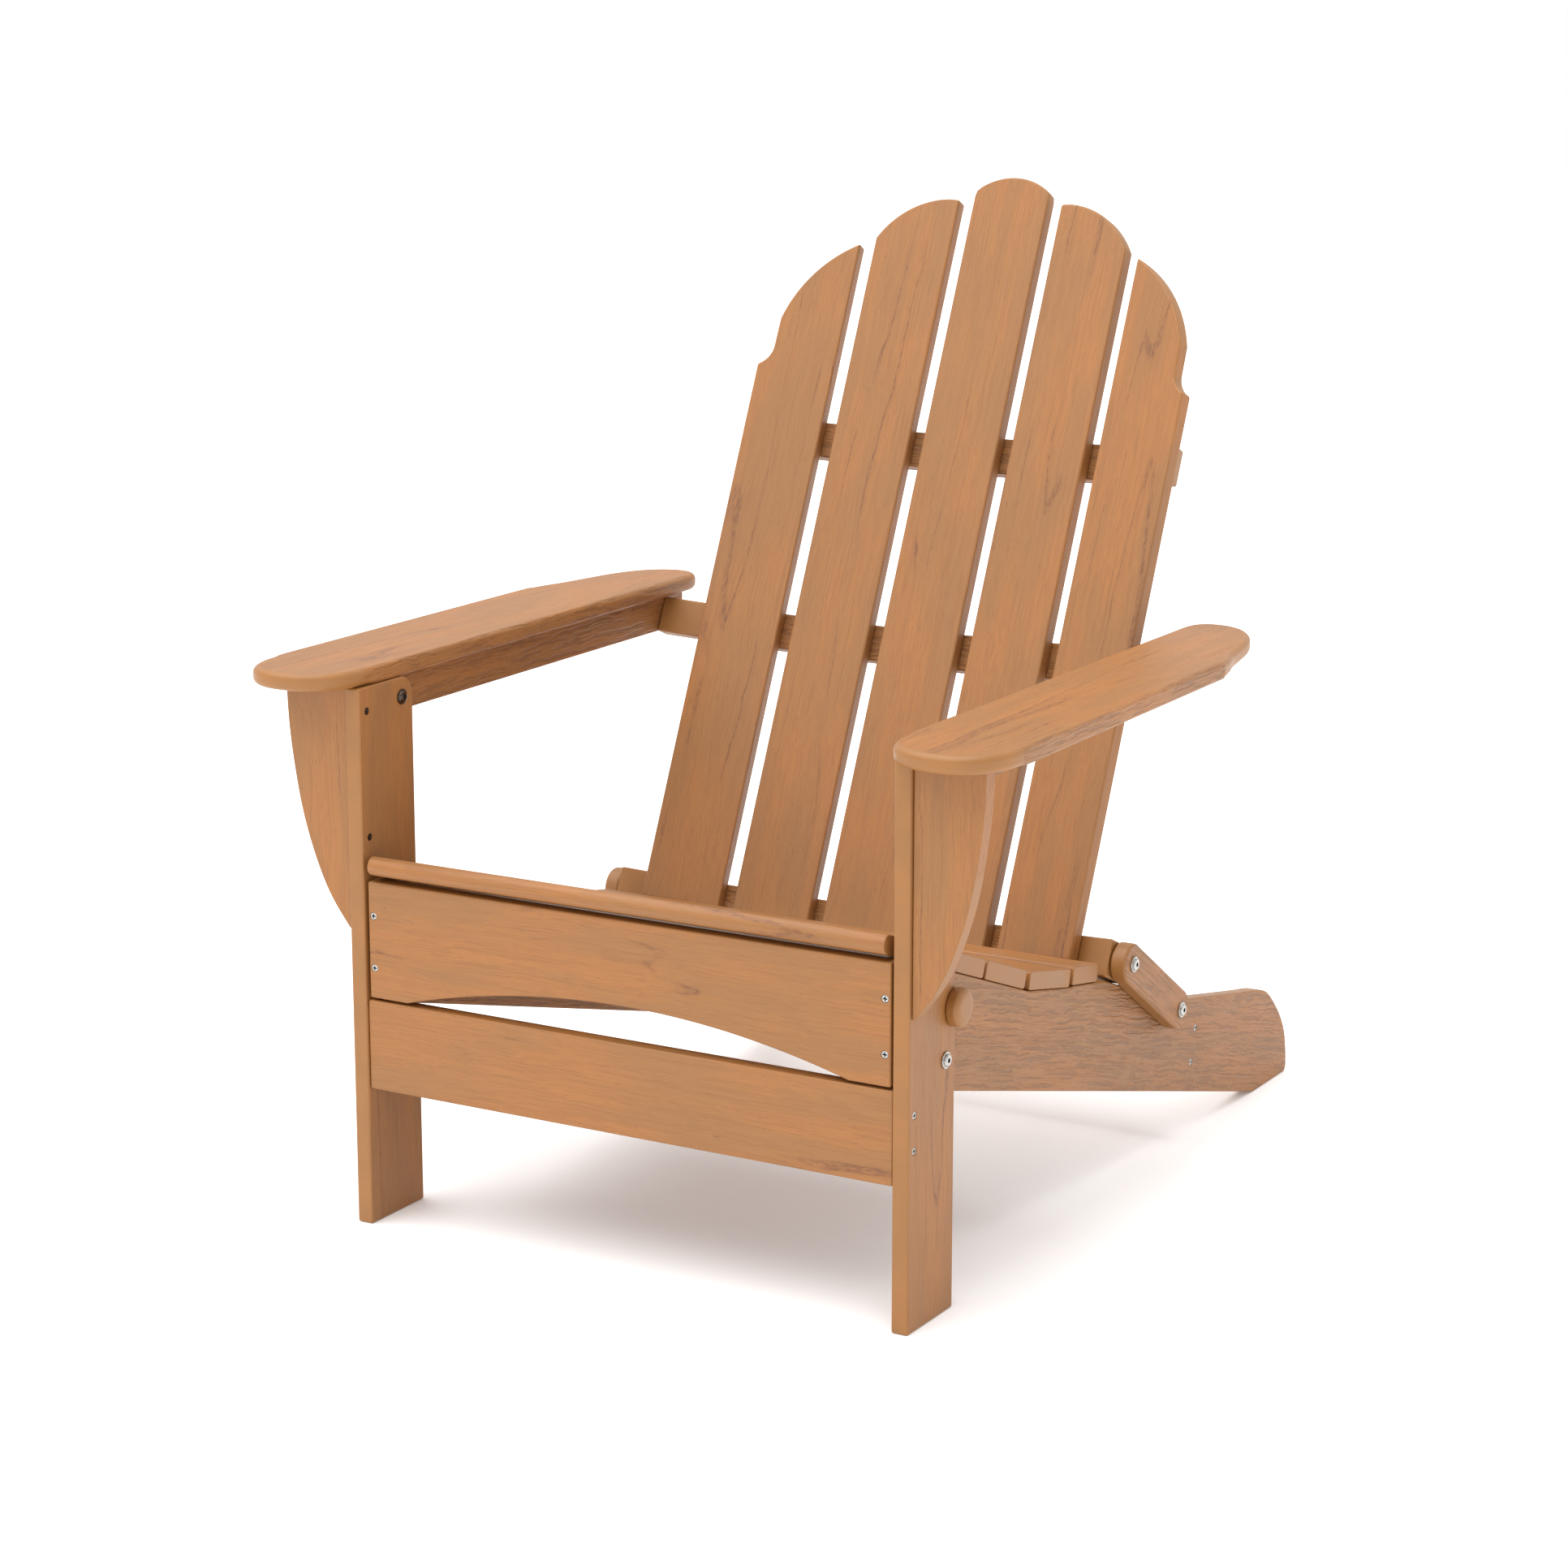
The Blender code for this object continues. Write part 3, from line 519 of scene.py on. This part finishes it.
# the back: its lean, the curve that the slats' front faces follow, the bars behind them
LEAN = math.radians(24.3)
BACK_Y, BACK_Z = 529.0, 400.0
BACK_R = 1381.0
BAR_FRONT_R = BACK_R + 18.0
BAR_REAR_R = BAR_FRONT_R + BOARD
BAR_HALF = 19.0
BAR_UPPER_S, BAR_MIDDLE_S, BAR_LOWER_S = 324.6, 113.5, -180.0


def back_point(x, s, d):
    """Point of the back: x across, s up the back, d behind the front face of the middle slat."""
    y = BACK_Y + s * math.sin(LEAN) + d * math.cos(LEAN)
    z = BACK_Z + s * math.cos(LEAN) - d * math.sin(LEAN)
    return (x, y, z)


def through(side, inner, *pivots):
    """Bolt holes through a board whose inner face is given."""
    return [((side * (inner - 2), y, z), (side, 0, 0), [(0.0, HOLE_R), (BOARD + 4, HOLE_R)])
            for y, z in pivots]


UP_BACK = (0.0, math.sin(LEAN), math.cos(LEAN))
OFF_BACK = (0.0, -math.cos(LEAN), math.sin(LEAN))
PIVOT_ARM_REAR = back_point(0.0, BAR_MIDDLE_S, -6.5)[1:]
PIVOT_LINK_UPPER = back_point(0.0, BAR_LOWER_S, 11.0)[1:]
# materials of a board: its broad faces, its long edges, its cut ends
ALL_PLANED = (PLANED, PLANED, ROUTED)
FACED = (PLANED, RIDGED, ROUTED)
ALL_RIDGED = (RIDGED, RIDGED, ROUTED)

# ------------------------------------------------------------------ seat frame
# side rail in (y, z): its upper edge, the curved rear foot, the curve under its front end
rail_outline = [(19.4, 343.2), (269.5, 250.6), (362.5, 230.7), (366.0, 231.2), (422.5, 221.2), (440.0, 217.8),
                (479.0, 203.2)]
tail = [(640.0, 149.5), (749.5, 127.0), (793.0, 118.3), (815.0, 114.2), (830.5, 110.6), (846.5, 104.8),
        (858.5, 96.4), (869.0, 87.0), (883.0, 72.6), (893.3, 58.8), (901.0, 43.5), (904.8, 26.8),
        (906.2, 14.0), (906.5, 4.5)]
throat = [(79.0, 204.9), (62.0, 209.6), (48.0, 214.6), (36.5, 221.4), (27.5, 229.6), (21.5, 238.6),
          (19.4, 246.0)]
rail_outline += smooth_run(tail, 3) + [(903.0, 0.0), (816.5, 0.0)] + smooth_run(throat, 3)
RAIL_TILT = math.radians(15.5)
APRON_SCREW_X = (RAIL_IN + RAIL_OUT) / 2.0
APRON_SCREW_Z = (309.7, 258.5)
SCREW_HOLE = [(-2.0, 3.8), (1.7, 3.8), (2.8, 2.4), (14.6, 2.4)]
# middle of the rear stretcher in (y, z), its depth, and its two screws in each rail
REAR_Y, REAR_Z = 654.0, 96.0
REAR_DEPTH = 76.0
REAR_SCREWS = tuple((REAR_Y + k * 18.0 * math.sin(RAIL_TILT), REAR_Z + k * 18.0 * math.cos(RAIL_TILT))
                    for k in (1, -1))
for label, side in SIDES:
    bm = bmesh.new()
    add_prism(bm, rail_outline, side_place(side), RAIL_IN, RAIL_OUT, edge=2.0, segments=3,
              grain=(math.cos(RAIL_TILT), -math.sin(RAIL_TILT)))
    holes = through(side, RAIL_IN, PIVOT_LEG, PIVOT_LINK_LOWER)
    holes += [((side * RAIL_OUT, y, z), (-side, 0, 0), SCREW_HOLE) for y, z in REAR_SCREWS]
    make_piece("side_rail_" + label, bm, ALL_RIDGED, grain=(0, math.cos(RAIL_TILT), -math.sin(RAIL_TILT)),
               normal=(side, 0, 0), holes=holes)

SEAT_SLOPE = 0.370
FRONT_TILT = math.degrees(math.atan(SEAT_SLOPE))
SEAT_TOP = 370.0
SEAT_HALF = 285.5
SLAT_ROUND = 3.0
NOSE_ROUND = 8.5
# each slat: front y, length along its own slope, top z at the front, slope in degrees, half width
SEAT_SLATS = (
    (0.0, 99.0, SEAT_TOP, FRONT_TILT, 278.8),
    (98.0, 87.4, SEAT_TOP - SEAT_SLOPE * 98.0, FRONT_TILT, SEAT_HALF),
    (184.5, 86.6, SEAT_TOP - SEAT_SLOPE * 184.5, FRONT_TILT, SEAT_HALF),
    (273.0, 89.0, 268.9, 12.2, SEAT_HALF),
    (366.5, 55.9, 250.2, 10.0, SEAT_HALF),
)
for number, (front, length, top, tilt, half) in enumerate(SEAT_SLATS, start=1):
    tilt = math.radians(tilt)
    along = (math.cos(tilt), -math.sin(tilt))
    up = (math.sin(tilt), math.cos(tilt))
    nose = NOSE_ROUND if number == 1 else SLAT_ROUND
    section = arc(nose, SEAT_BOARD - nose, nose, 180, 90, 8)
    section += arc(length - SLAT_ROUND, SEAT_BOARD - SLAT_ROUND, SLAT_ROUND, 90, 0, 5)
    section += arc(length - SLAT_ROUND, SLAT_ROUND, SLAT_ROUND, 0, -90, 5)
    section += arc(nose, nose, nose, -90, -180, 8)
    outline = []
    for p, q in section:
        q -= SEAT_BOARD
        outline.append((front + p * along[0] + q * up[0], top + p * along[1] + q * up[1]))
    bm = bmesh.new()
    add_prism(bm, outline, across_place, -half, half, edge=1.2, corner_angle=80.0, segments=3,
              side_kind=0, face_kind=2)
    make_piece("seat_slat_%d" % number, bm, ALL_PLANED, grain=(1, 0, 0), normal=(0, *up))

APRON_HALF = 283.0
APRON_Z = (228.5, 343.2)
FRONT_BOARD = (2.0, 19.0)
ARCH_HALF = 240.0
ARCH_RISE = 33.0
arch_radius = (ARCH_HALF ** 2 + ARCH_RISE ** 2) / (2.0 * ARCH_RISE)
arch_angle = math.degrees(math.asin(ARCH_HALF / arch_radius))
apron_outline = [(-APRON_HALF, APRON_Z[1]), (APRON_HALF, APRON_Z[1]), (APRON_HALF, APRON_Z[0])]
apron_outline += arc(0.0, APRON_Z[0] + ARCH_RISE - arch_radius, arch_radius,
                     90 - arch_angle, 90 + arch_angle, 44)
apron_outline += [(-APRON_HALF, APRON_Z[0])]
bm = bmesh.new()
add_prism(bm, apron_outline, front_place, *FRONT_BOARD, grain=(1, 0), corner_angle=60.0)
make_piece("apron", bm, ALL_PLANED, grain=(1, 0, 0), normal=(0, -1, 0),
           holes=[((side * APRON_SCREW_X, FRONT_BOARD[0], z), (0, 1, 0), SCREW_HOLE)
                  for _, side in SIDES for z in APRON_SCREW_Z])

rail_dir = (math.cos(RAIL_TILT), -math.sin(RAIL_TILT))
rail_up = (math.sin(RAIL_TILT), math.cos(RAIL_TILT))
outline = []
for p, q in ((-0.5, -0.5), (0.5, -0.5), (0.5, 0.5), (-0.5, 0.5)):
    outline.append((REAR_Y + p * BOARD * rail_dir[0] + q * REAR_DEPTH * rail_up[0],
                    REAR_Z + p * BOARD * rail_dir[1] + q * REAR_DEPTH * rail_up[1]))
bm = bmesh.new()
add_prism(bm, outline, across_place, -(RAIL_IN - GAP), RAIL_IN - GAP, side_kind=0, face_kind=2)
make_piece("rear_stretcher", bm, ALL_PLANED, grain=(1, 0, 0), normal=(0, *rail_dir))

for label, side in SIDES:
    bm = bmesh.new()
    head = LEG_OUT - RAIL_OUT + GAP
    profile = [(GAP, KNOB_SHANK_R), (head, KNOB_SHANK_R), (head, 15.6)]
    profile += [(head + 1.8 - 1.8 * math.sin(a), 16.2 + 1.8 * math.cos(a))
                for a in (math.pi / 2 * k / 4 for k in range(4, -1, -1))]
    profile += [(head + 7.4, 18.0), (head + 8.4, 17.8), (head + 9.6, 17.1), (head + 10.8, 15.9),
                (head + 11.7, 14.2), (head + 12.3, 12.2), (head + 12.5, 9.8), (head + 12.5, 4.0)]
    add_turned(bm, (side * RAIL_OUT, *KNOB), (side, 0, 0), profile, 56)
    make_piece("stop_knob_" + label, bm, (ROUTED,), grain=(0, 0, 1), normal=(side, 0, 0), smooth_angle=40.0)

# ------------------------------------------------------------------ front legs
LEG_DEPTH = 86.4
LEG_HEIGHT = 529.2
LEG_CORNER = 18.0
leg_outline = [(0.0, 0.0), (LEG_DEPTH, 0.0)]
leg_outline += arc(LEG_DEPTH - LEG_CORNER, LEG_HEIGHT - LEG_CORNER, LEG_CORNER, 0, 90, 14)
leg_outline += [(0.0, LEG_HEIGHT)]
# notch that lets the leg turn away from the stop: a slot round the leg's pivot, closed at the front
knob_reach = math.hypot(KNOB[0] - PIVOT_LEG[0], KNOB[1] - PIVOT_LEG[1])
knob_angle = math.degrees(math.atan2(KNOB[1] - PIVOT_LEG[1], KNOB[0] - PIVOT_LEG[0]))
notch_open = 50.0       # degrees; at this angle the slot has left the leg's rear edge
notch_outline = arc(*PIVOT_LEG, knob_reach - NOTCH_R, notch_open, knob_angle, 10)
notch_outline += arc(*KNOB, NOTCH_R, knob_angle + 180, knob_angle, 24)[1:]
notch_outline += arc(*PIVOT_LEG, knob_reach + NOTCH_R, knob_angle, notch_open, 10)[1:]
STRETCHER_SCREWS = ((10.5, 204.0), (10.5, 171.0))
BRACKET_SCREWS = ((12.0, 506.0), (12.0, 384.0))
for label, side in SIDES:
    bm = bmesh.new()
    add_prism(bm, leg_outline, side_place(side), LEG_IN, LEG_OUT, grain=(0, 1))
    holes = through(side, LEG_IN, PIVOT_LEG, PIVOT_ARM_FRONT)
    holes += [((side * LEG_OUT, y, z), (-side, 0, 0), SCREW_HOLE) for y, z in STRETCHER_SCREWS]
    holes += [((side * LEG_IN, y, z), (side, 0, 0), SCREW_HOLE) for y, z in BRACKET_SCREWS]
    make_piece("front_leg_" + label, bm, ALL_PLANED, grain=(0, 0, 1), normal=(side, 0, 0), holes=holes,
               notch=(notch_outline, side_place(side), LEG_IN - 2, LEG_OUT + 2))

bm = bmesh.new()
half = LEG_IN - GAP
add_prism(bm, [(-half, 137.0), (half, 137.0), (half, 225.9), (-half, 225.9)], front_place, *FRONT_BOARD,
          grain=(1, 0))
make_piece("front_stretcher", bm, ALL_PLANED, grain=(1, 0, 0), normal=(0, -1, 0))

BRACKET_TOP = 528.9
BRACKET_FOOT = 293.6
BRACKET_EDGE = [(324.5, 318.5), (338.0, 343.5), (351.0, 377.5), (360.5, 412.0), (368.0, 455.0),
                (372.0, 490.0), (373.8, 528.9)]
for label, side in SIDES:
    foot = LEG_OUT + GAP
    outline = [(foot, BRACKET_TOP), (foot, BRACKET_FOOT)]
    outline += smooth_run([(foot + 2.6, BRACKET_FOOT)] + BRACKET_EDGE, 8)
    outline = [(side * a, b) for a, b in outline]
    bm = bmesh.new()
    add_prism(bm, outline, front_place, 3.5, 20.5, edge=1.1, corner_angle=50.0, segments=3, grain=(0, 1))
    make_piece("arm_bracket_" + label, bm, ALL_PLANED, grain=(0, 0, 1), normal=(0, -1, 0))


# ------------------------------------------------------------------ fasteners
def hexagon(across):
    """Radius of a hexagon, given its width across the flats, as a function of the angle."""
    def radius(angle):
        part = (angle + math.pi / 6) % (math.pi / 3) - math.pi / 6
        return across / 2 / math.cos(part)
    return radius


def cross(length, width):
    """Radius of a cross-shaped recess as a function of the angle."""
    def radius(angle):
        c, s = abs(math.cos(angle)) + 1e-6, abs(math.sin(angle)) + 1e-6
        return max(min(length / c, width / s), min(width / c, length / s))
    return radius


def add_bolt(node, x, pivot, side, reach):
    """Button-head bolt with a hexagonal socket over a plain washer, and its shank."""
    bm = bmesh.new()
    profile = [(2.2, hexagon(2.2)), (2.2, hexagon(4.2)), (3.8, hexagon(4.3)), (3.9, 3.3), (3.85, 4.4),
               (3.6, 5.2), (3.2, 5.8), (2.7, 6.1), (1.7, 6.15), (1.65, 6.35), (1.6, 7.5), (1.5, 7.8),
               (1.2, 8.0), (0.5, 8.0), (GAP, 7.8), (GAP, SHANK_R), (-reach, SHANK_R)]
    # the socket's floor and walls take the painted recess shade
    kinds = [1, 1] + [0] * (len(profile) - 2)
    add_turned(bm, (side * x, pivot[0], pivot[1]), (side, 0, 0), profile, 48, kinds)
    make_piece(node, bm, (STEEL, RECESS_SHADE), grain=(0, 1, 0), normal=(side, 0, 0), smooth_angle=35.0)


def add_nut(node, x, pivot, side, reach):
    """Domed barrel nut with a socket, facing inwards."""
    bm = bmesh.new()
    profile = [(2.2, hexagon(2.0)), (2.2, hexagon(4.0)), (3.5, hexagon(4.1)), (3.6, 3.0), (3.5, 4.0),
               (3.2, 4.9), (2.7, 5.7), (2.1, 6.1), (1.6, 6.2), (1.6, 6.4), (1.55, 7.0), (1.3, 7.4),
               (GAP, 7.4), (GAP, SHANK_R), (-reach, SHANK_R)]
    # the socket's floor and walls take the painted recess shade
    kinds = [1, 1] + [0] * (len(profile) - 2)
    add_turned(bm, (side * x, pivot[0], pivot[1]), (-side, 0, 0), profile, 48, kinds)
    make_piece(node, bm, (DARK_STEEL_AND_HOLE_SHADE, RECESS_SHADE), grain=(0, 1, 0), normal=(-side, 0, 0), smooth_angle=35.0)


def add_screw(node, point, direction, dark=False):
    """Countersunk screw with a cross recess; the head lies just under the surface."""
    bm = bmesh.new()
    profile = [(1.55, cross(1.0, 0.30)), (0.36, cross(2.35, 0.62)), (0.32, 2.95), (0.36, 3.25), (0.5, 3.4),
               (1.2, 3.4), (2.4, 2.0), (14.0, 2.0)]
    # the cross recess takes the painted recess shade
    kinds = [1] + [0] * (len(profile) - 1)
    add_turned(bm, point, direction, profile, 48, kinds)
    make_piece(node, bm, (DARK_STEEL_AND_HOLE_SHADE, RECESS_SHADE) if dark else (STEEL, RECESS_SHADE),
               grain=(0, 0, 1), normal=direction, smooth_angle=35.0)


# each bolt: name, x of the face under its head, pivot, reach of its shank from that face
BOLTS = (
    ("leg_pivot_bolt", LEG_OUT, PIVOT_LEG, 2 * BOARD),
    ("link_lower_bolt", LEG_OUT, PIVOT_LINK_LOWER, 2 * BOARD),
    ("link_upper_bolt", LEG_OUT, PIVOT_LINK_UPPER, 2 * BOARD + 8),
    ("arm_rear_bolt", ARM_RAIL_OUT, PIVOT_ARM_REAR, 33.0),
    ("arm_front_bolt", ARM_RAIL_OUT, PIVOT_ARM_FRONT, BOARD - 0.5),
)
for label, side in SIDES:
    for name, x, pivot, reach in BOLTS:
        add_bolt(name + "_" + label, x, pivot, side, reach)
    add_nut("leg_top_nut_" + label, LEG_IN, PIVOT_ARM_FRONT, side, BOARD - 0.5)
    for level, z in zip(LEVELS, APRON_SCREW_Z):
        add_screw("apron_screw_%s_%s" % (label, level), (side * APRON_SCREW_X, FRONT_BOARD[0], z),
                  (0, 1, 0))
    for level, (y, z) in zip(LEVELS, REAR_SCREWS):
        add_screw("rear_stretcher_screw_%s_%s" % (label, level), (side * RAIL_OUT, y, z), (-side, 0, 0))
    for level, (y, z) in zip(LEVELS, STRETCHER_SCREWS):
        add_screw("front_stretcher_screw_%s_%s" % (label, level), (side * LEG_OUT, y, z), (-side, 0, 0))
    for level, (y, z) in zip(LEVELS, BRACKET_SCREWS):
        # the bracket screws are dark: painted shade of the holes they sit in
        add_screw("bracket_screw_%s_%s" % (label, level), (side * LEG_IN, y, z), (side, 0, 0), dark=True)

# ------------------------------------------------------------------ links
dy = PIVOT_LINK_LOWER[0] - PIVOT_LINK_UPPER[0]
dz = PIVOT_LINK_LOWER[1] - PIVOT_LINK_UPPER[1]
link_angle = math.degrees(math.atan2(dz, dy))
link_dir = (math.cos(math.radians(link_angle)), math.sin(math.radians(link_angle)))
LINK_R = 20.3
link_outline = arc(*PIVOT_LINK_LOWER, LINK_R, link_angle - 90, link_angle + 90, 36)
link_outline += arc(*PIVOT_LINK_UPPER, LINK_R, link_angle + 90, link_angle + 270, 36)
for label, side in SIDES:
    bm = bmesh.new()
    add_prism(bm, link_outline, side_place(side), LEG_IN, LEG_OUT, edge=3.0, grain=link_dir)
    make_piece("link_" + label, bm, ALL_RIDGED, grain=(0, *link_dir), normal=(side, 0, 0),
               holes=through(side, LEG_IN, PIVOT_LINK_LOWER, PIVOT_LINK_UPPER))

# ------------------------------------------------------------------ arms
ARM_BOTTOM = 529.5
ARM_RAIL_DEPTH = 38.8
ARM_RAIL_REAR = 608.0
ARM_ROUND, ARM_END_ROUND = 3.0, 6.5
# plan of the right arm: (x, y) round the front end, then round the rear end
ARM_FRONT = [(287.0, 40.0), (287.2, 20.0), (288.0, 4.0), (290.6, -9.0), (295.8, -20.5), (304.0, -31.5),
             (316.0, -39.5), (330.0, -44.5), (346.0, -46.0), (360.0, -44.8), (372.5, -40.6),
             (383.5, -33.0), (392.0, -22.0), (398.2, -6.5), (401.2, 12.0), (401.8, 40.0)]
ARM_REAR = [(399.0, 448.0), (395.5, 468.0), (387.0, 498.0), (380.0, 532.0), (373.0, 564.0), (363.0, 591.0),
            (349.5, 611.0), (334.0, 622.5), (318.0, 627.0), (304.5, 625.5), (295.5, 619.5), (289.8, 610.5),
            (287.4, 599.0), (287.0, 580.0)]
arm_outline = smooth_run(ARM_FRONT, 4) + smooth_run(ARM_REAR, 5)
# the routed ends are rounded more than the long edges
arm_radii = [ARM_ROUND + (ARM_END_ROUND - ARM_ROUND)
             * max(min((30.0 - y) / 12.0, 1.0), min((y - 446.0) / 8.0, 1.0), 0.0) for _, y in arm_outline]
arm_rail_top = ARM_BOTTOM - GAP
arm_rail_low = arm_rail_top - ARM_RAIL_DEPTH + GAP
rail_mid = (arm_rail_top + arm_rail_low) / 2.0
rail_half = (arm_rail_top - arm_rail_low) / 2.0
arm_rail_outline = arc(PIVOT_ARM_FRONT[0], rail_mid, rail_half, 270, 90, 24)
arm_rail_outline += [(ARM_RAIL_REAR, arm_rail_top), (ARM_RAIL_REAR, arm_rail_low + 6.0),
                     (ARM_RAIL_REAR - 5.0, arm_rail_low)]
for label, side in SIDES:
    bm = bmesh.new()
    add_slab(bm, [(side * a, b) for a, b in arm_outline], arm_radii, ARM_BOTTOM, ARM_BOTTOM + BOARD, 8)
    make_piece("arm_" + label, bm, FACED, grain=(0, 1, 0), normal=(0, 0, 1))
    bm = bmesh.new()
    add_prism(bm, arm_rail_outline, side_place(side), ARM_RAIL_IN, ARM_RAIL_OUT, grain=(1, 0),
              corner_angle=50.0)
    make_piece("arm_rail_" + label, bm, ALL_RIDGED, grain=(0, 1, 0), normal=(side, 0, 0),
               holes=through(side, ARM_RAIL_IN, PIVOT_ARM_FRONT, PIVOT_ARM_REAR))

# ------------------------------------------------------------------ back
SLAT_PITCH = 102.8
SLAT_HALF = 43.4
SLAT_FOOT = -190.0
# tops of the left outer, left inner and centre slat: (across the slat, up the back), from right to left
OUTER_TOP = arc_through((SLAT_HALF, 538.0), (-3.9, 497.7), (-28.5, 447.0), 24)
OUTER_TOP += arc(-53.0, 417.0, 24.0, 0, -66.4, 12)
INNER_TOP = [(SLAT_HALF, 594.7)] + arc_through((32.0, 595.2), (-8.0, 583.0), (-SLAT_HALF, 546.5), 22)
CENTRE_TOP = [(SLAT_HALF, 599.5), (42.2, 606.0)] + arc(0.0, 555.1, 67.0, 56, 124, 22)
CENTRE_TOP += [(-42.2, 606.0), (-SLAT_HALF, 599.5)]
for index in range(5):
    turn = (index - 2) * SLAT_PITCH / BACK_R

    def slat_place(a, s, depth, turn=turn):
        """Point of the slat: a across it, s up the back, depth behind its front face."""
        x = BACK_R * math.sin(turn) + a * math.cos(turn) + depth * math.sin(turn)
        d = BACK_R * math.cos(turn) - BACK_R - a * math.sin(turn) + depth * math.cos(turn)
        return back_point(x, s, d)

    top = CENTRE_TOP if index == 2 else OUTER_TOP if index in (0, 4) else INNER_TOP
    if index > 2:
        top = [(-a, b) for a, b in reversed(top)]
    outline = [(-SLAT_HALF, SLAT_FOOT), (SLAT_HALF, SLAT_FOOT)] + top
    bm = bmesh.new()
    add_prism(bm, outline, slat_place, 0.0, BOARD, edge=2.6, corner_angle=50.0, grain=(0, 1))
    facing = Vector(slat_place(0, 0, 0)) - Vector(slat_place(0, 0, 1))
    make_piece("back_slat_%d" % (index + 1), bm, ALL_PLANED, grain=UP_BACK, normal=facing)


def bar_outline(half, rear):
    """Plan of a bar in (x, d); rear None follows the front curve, a number is a flat rear face."""
    steps = 40
    front, back = [], []
    for i in range(steps + 1):
        x = -half + 2.0 * half * i / steps
        front.append((x, math.sqrt(BAR_FRONT_R ** 2 - x * x) - BACK_R))
        back.append((x, math.sqrt(BAR_REAR_R ** 2 - x * x) - BACK_R))
    if rear is not None:
        back = [(-half, rear), (half, rear)]
    return front + list(reversed(back))


# each bar: name, its middle up the back, half length, flat rear face if any, bolt's pivot, hole's depth
BARS = (
    ("back_bar_upper", BAR_UPPER_S, 246.0, None, None, 0.0),
    ("back_bar_middle", BAR_MIDDLE_S, ARM_RAIL_IN - 0.5, None, PIVOT_ARM_REAR, 18.5),
    ("back_bar_lower", BAR_LOWER_S, LEG_IN - 0.5, 35.0, PIVOT_LINK_UPPER, 30.0),
)
for name, middle, half, rear, pivot, deep in BARS:
    bm = bmesh.new()
    add_prism(bm, bar_outline(half, rear), lambda a, d, depth: back_point(a, depth, d),
              middle - BAR_HALF, middle + BAR_HALF, edge=2.0, corner_angle=60.0, segments=3, grain=(1, 0),
              side_kind=0, face_kind=0)
    # the cut ends take the routed material
    for face in bm.faces:
        if abs(face.calc_center_median().x) > half - 2.5:
            face.material_index = 2
    holes = ()
    if pivot:
        holes = [((side * (half + 2), *pivot), (-side, 0, 0), [(0.0, HOLE_R), (deep, HOLE_R)])
                 for _, side in SIDES]
    make_piece(name, bm, ALL_RIDGED, grain=(1, 0, 0), normal=OFF_BACK, holes=holes)

# ------------------------------------------------------------------ floor, light and camera
bm = bmesh.new()
bmesh.ops.create_grid(bm, x_segments=2, y_segments=2, size=14.0)
mesh = bpy.data.meshes.new("floor")
bm.to_mesh(mesh)
bm.free()
floor = bpy.data.objects.new("floor", mesh)
bpy.context.scene.collection.objects.link(floor)
t = Tree("pale_floor", (0.9, 0.9, 0.9))
grainy = t.noise(t.nodes.new("ShaderNodeTexCoord").outputs["Object"], scale=3.0, detail=3.0)
t.feed(t.shader.inputs["Base Color"], t.mix(grainy, (0.905, 0.900, 0.900), (0.925, 0.920, 0.920)))
t.shader.inputs["Roughness"].default_value = 0.9
t.shader.inputs["Specular IOR Level"].default_value = 0.15
t.shader.inputs["Emission Color"].default_value = (1.0, 0.995, 0.99, 1.0)
t.shader.inputs["Emission Strength"].default_value = 0.13
mesh.materials.append(t.material)
floor.location.z = -0.0002

scene = bpy.context.scene
scene.view_settings.view_transform = "Standard"
world = bpy.data.worlds.new("studio")
scene.world = world
world.use_nodes = True
world.node_tree.nodes["Background"].inputs["Color"].default_value = (1.0, 1.0, 1.0, 1.0)
world.node_tree.nodes["Background"].inputs["Strength"].default_value = 1.0
skylight = bpy.data.lights.new("broad_overhead", "SUN")
skylight.energy = 3.0
skylight.angle = math.radians(75.0)
lamp = bpy.data.objects.new("broad_overhead", skylight)
scene.collection.objects.link(lamp)
lamp.rotation_euler = Vector((0.22, 0.20, -0.95)).to_track_quat("-Z", "Y").to_euler()

# the camera that sees the chair as the photograph does
camera_data = bpy.data.cameras.new("camera")
camera_data.sensor_width = 36.0
camera_data.lens = 86.89
camera = bpy.data.objects.new("camera", camera_data)
scene.collection.objects.link(camera)
camera.location = (1.8057, -3.2349, 1.2489)
camera.rotation_euler = (math.radians(76.869), 0.0, math.radians(30.167))
scene.camera = camera
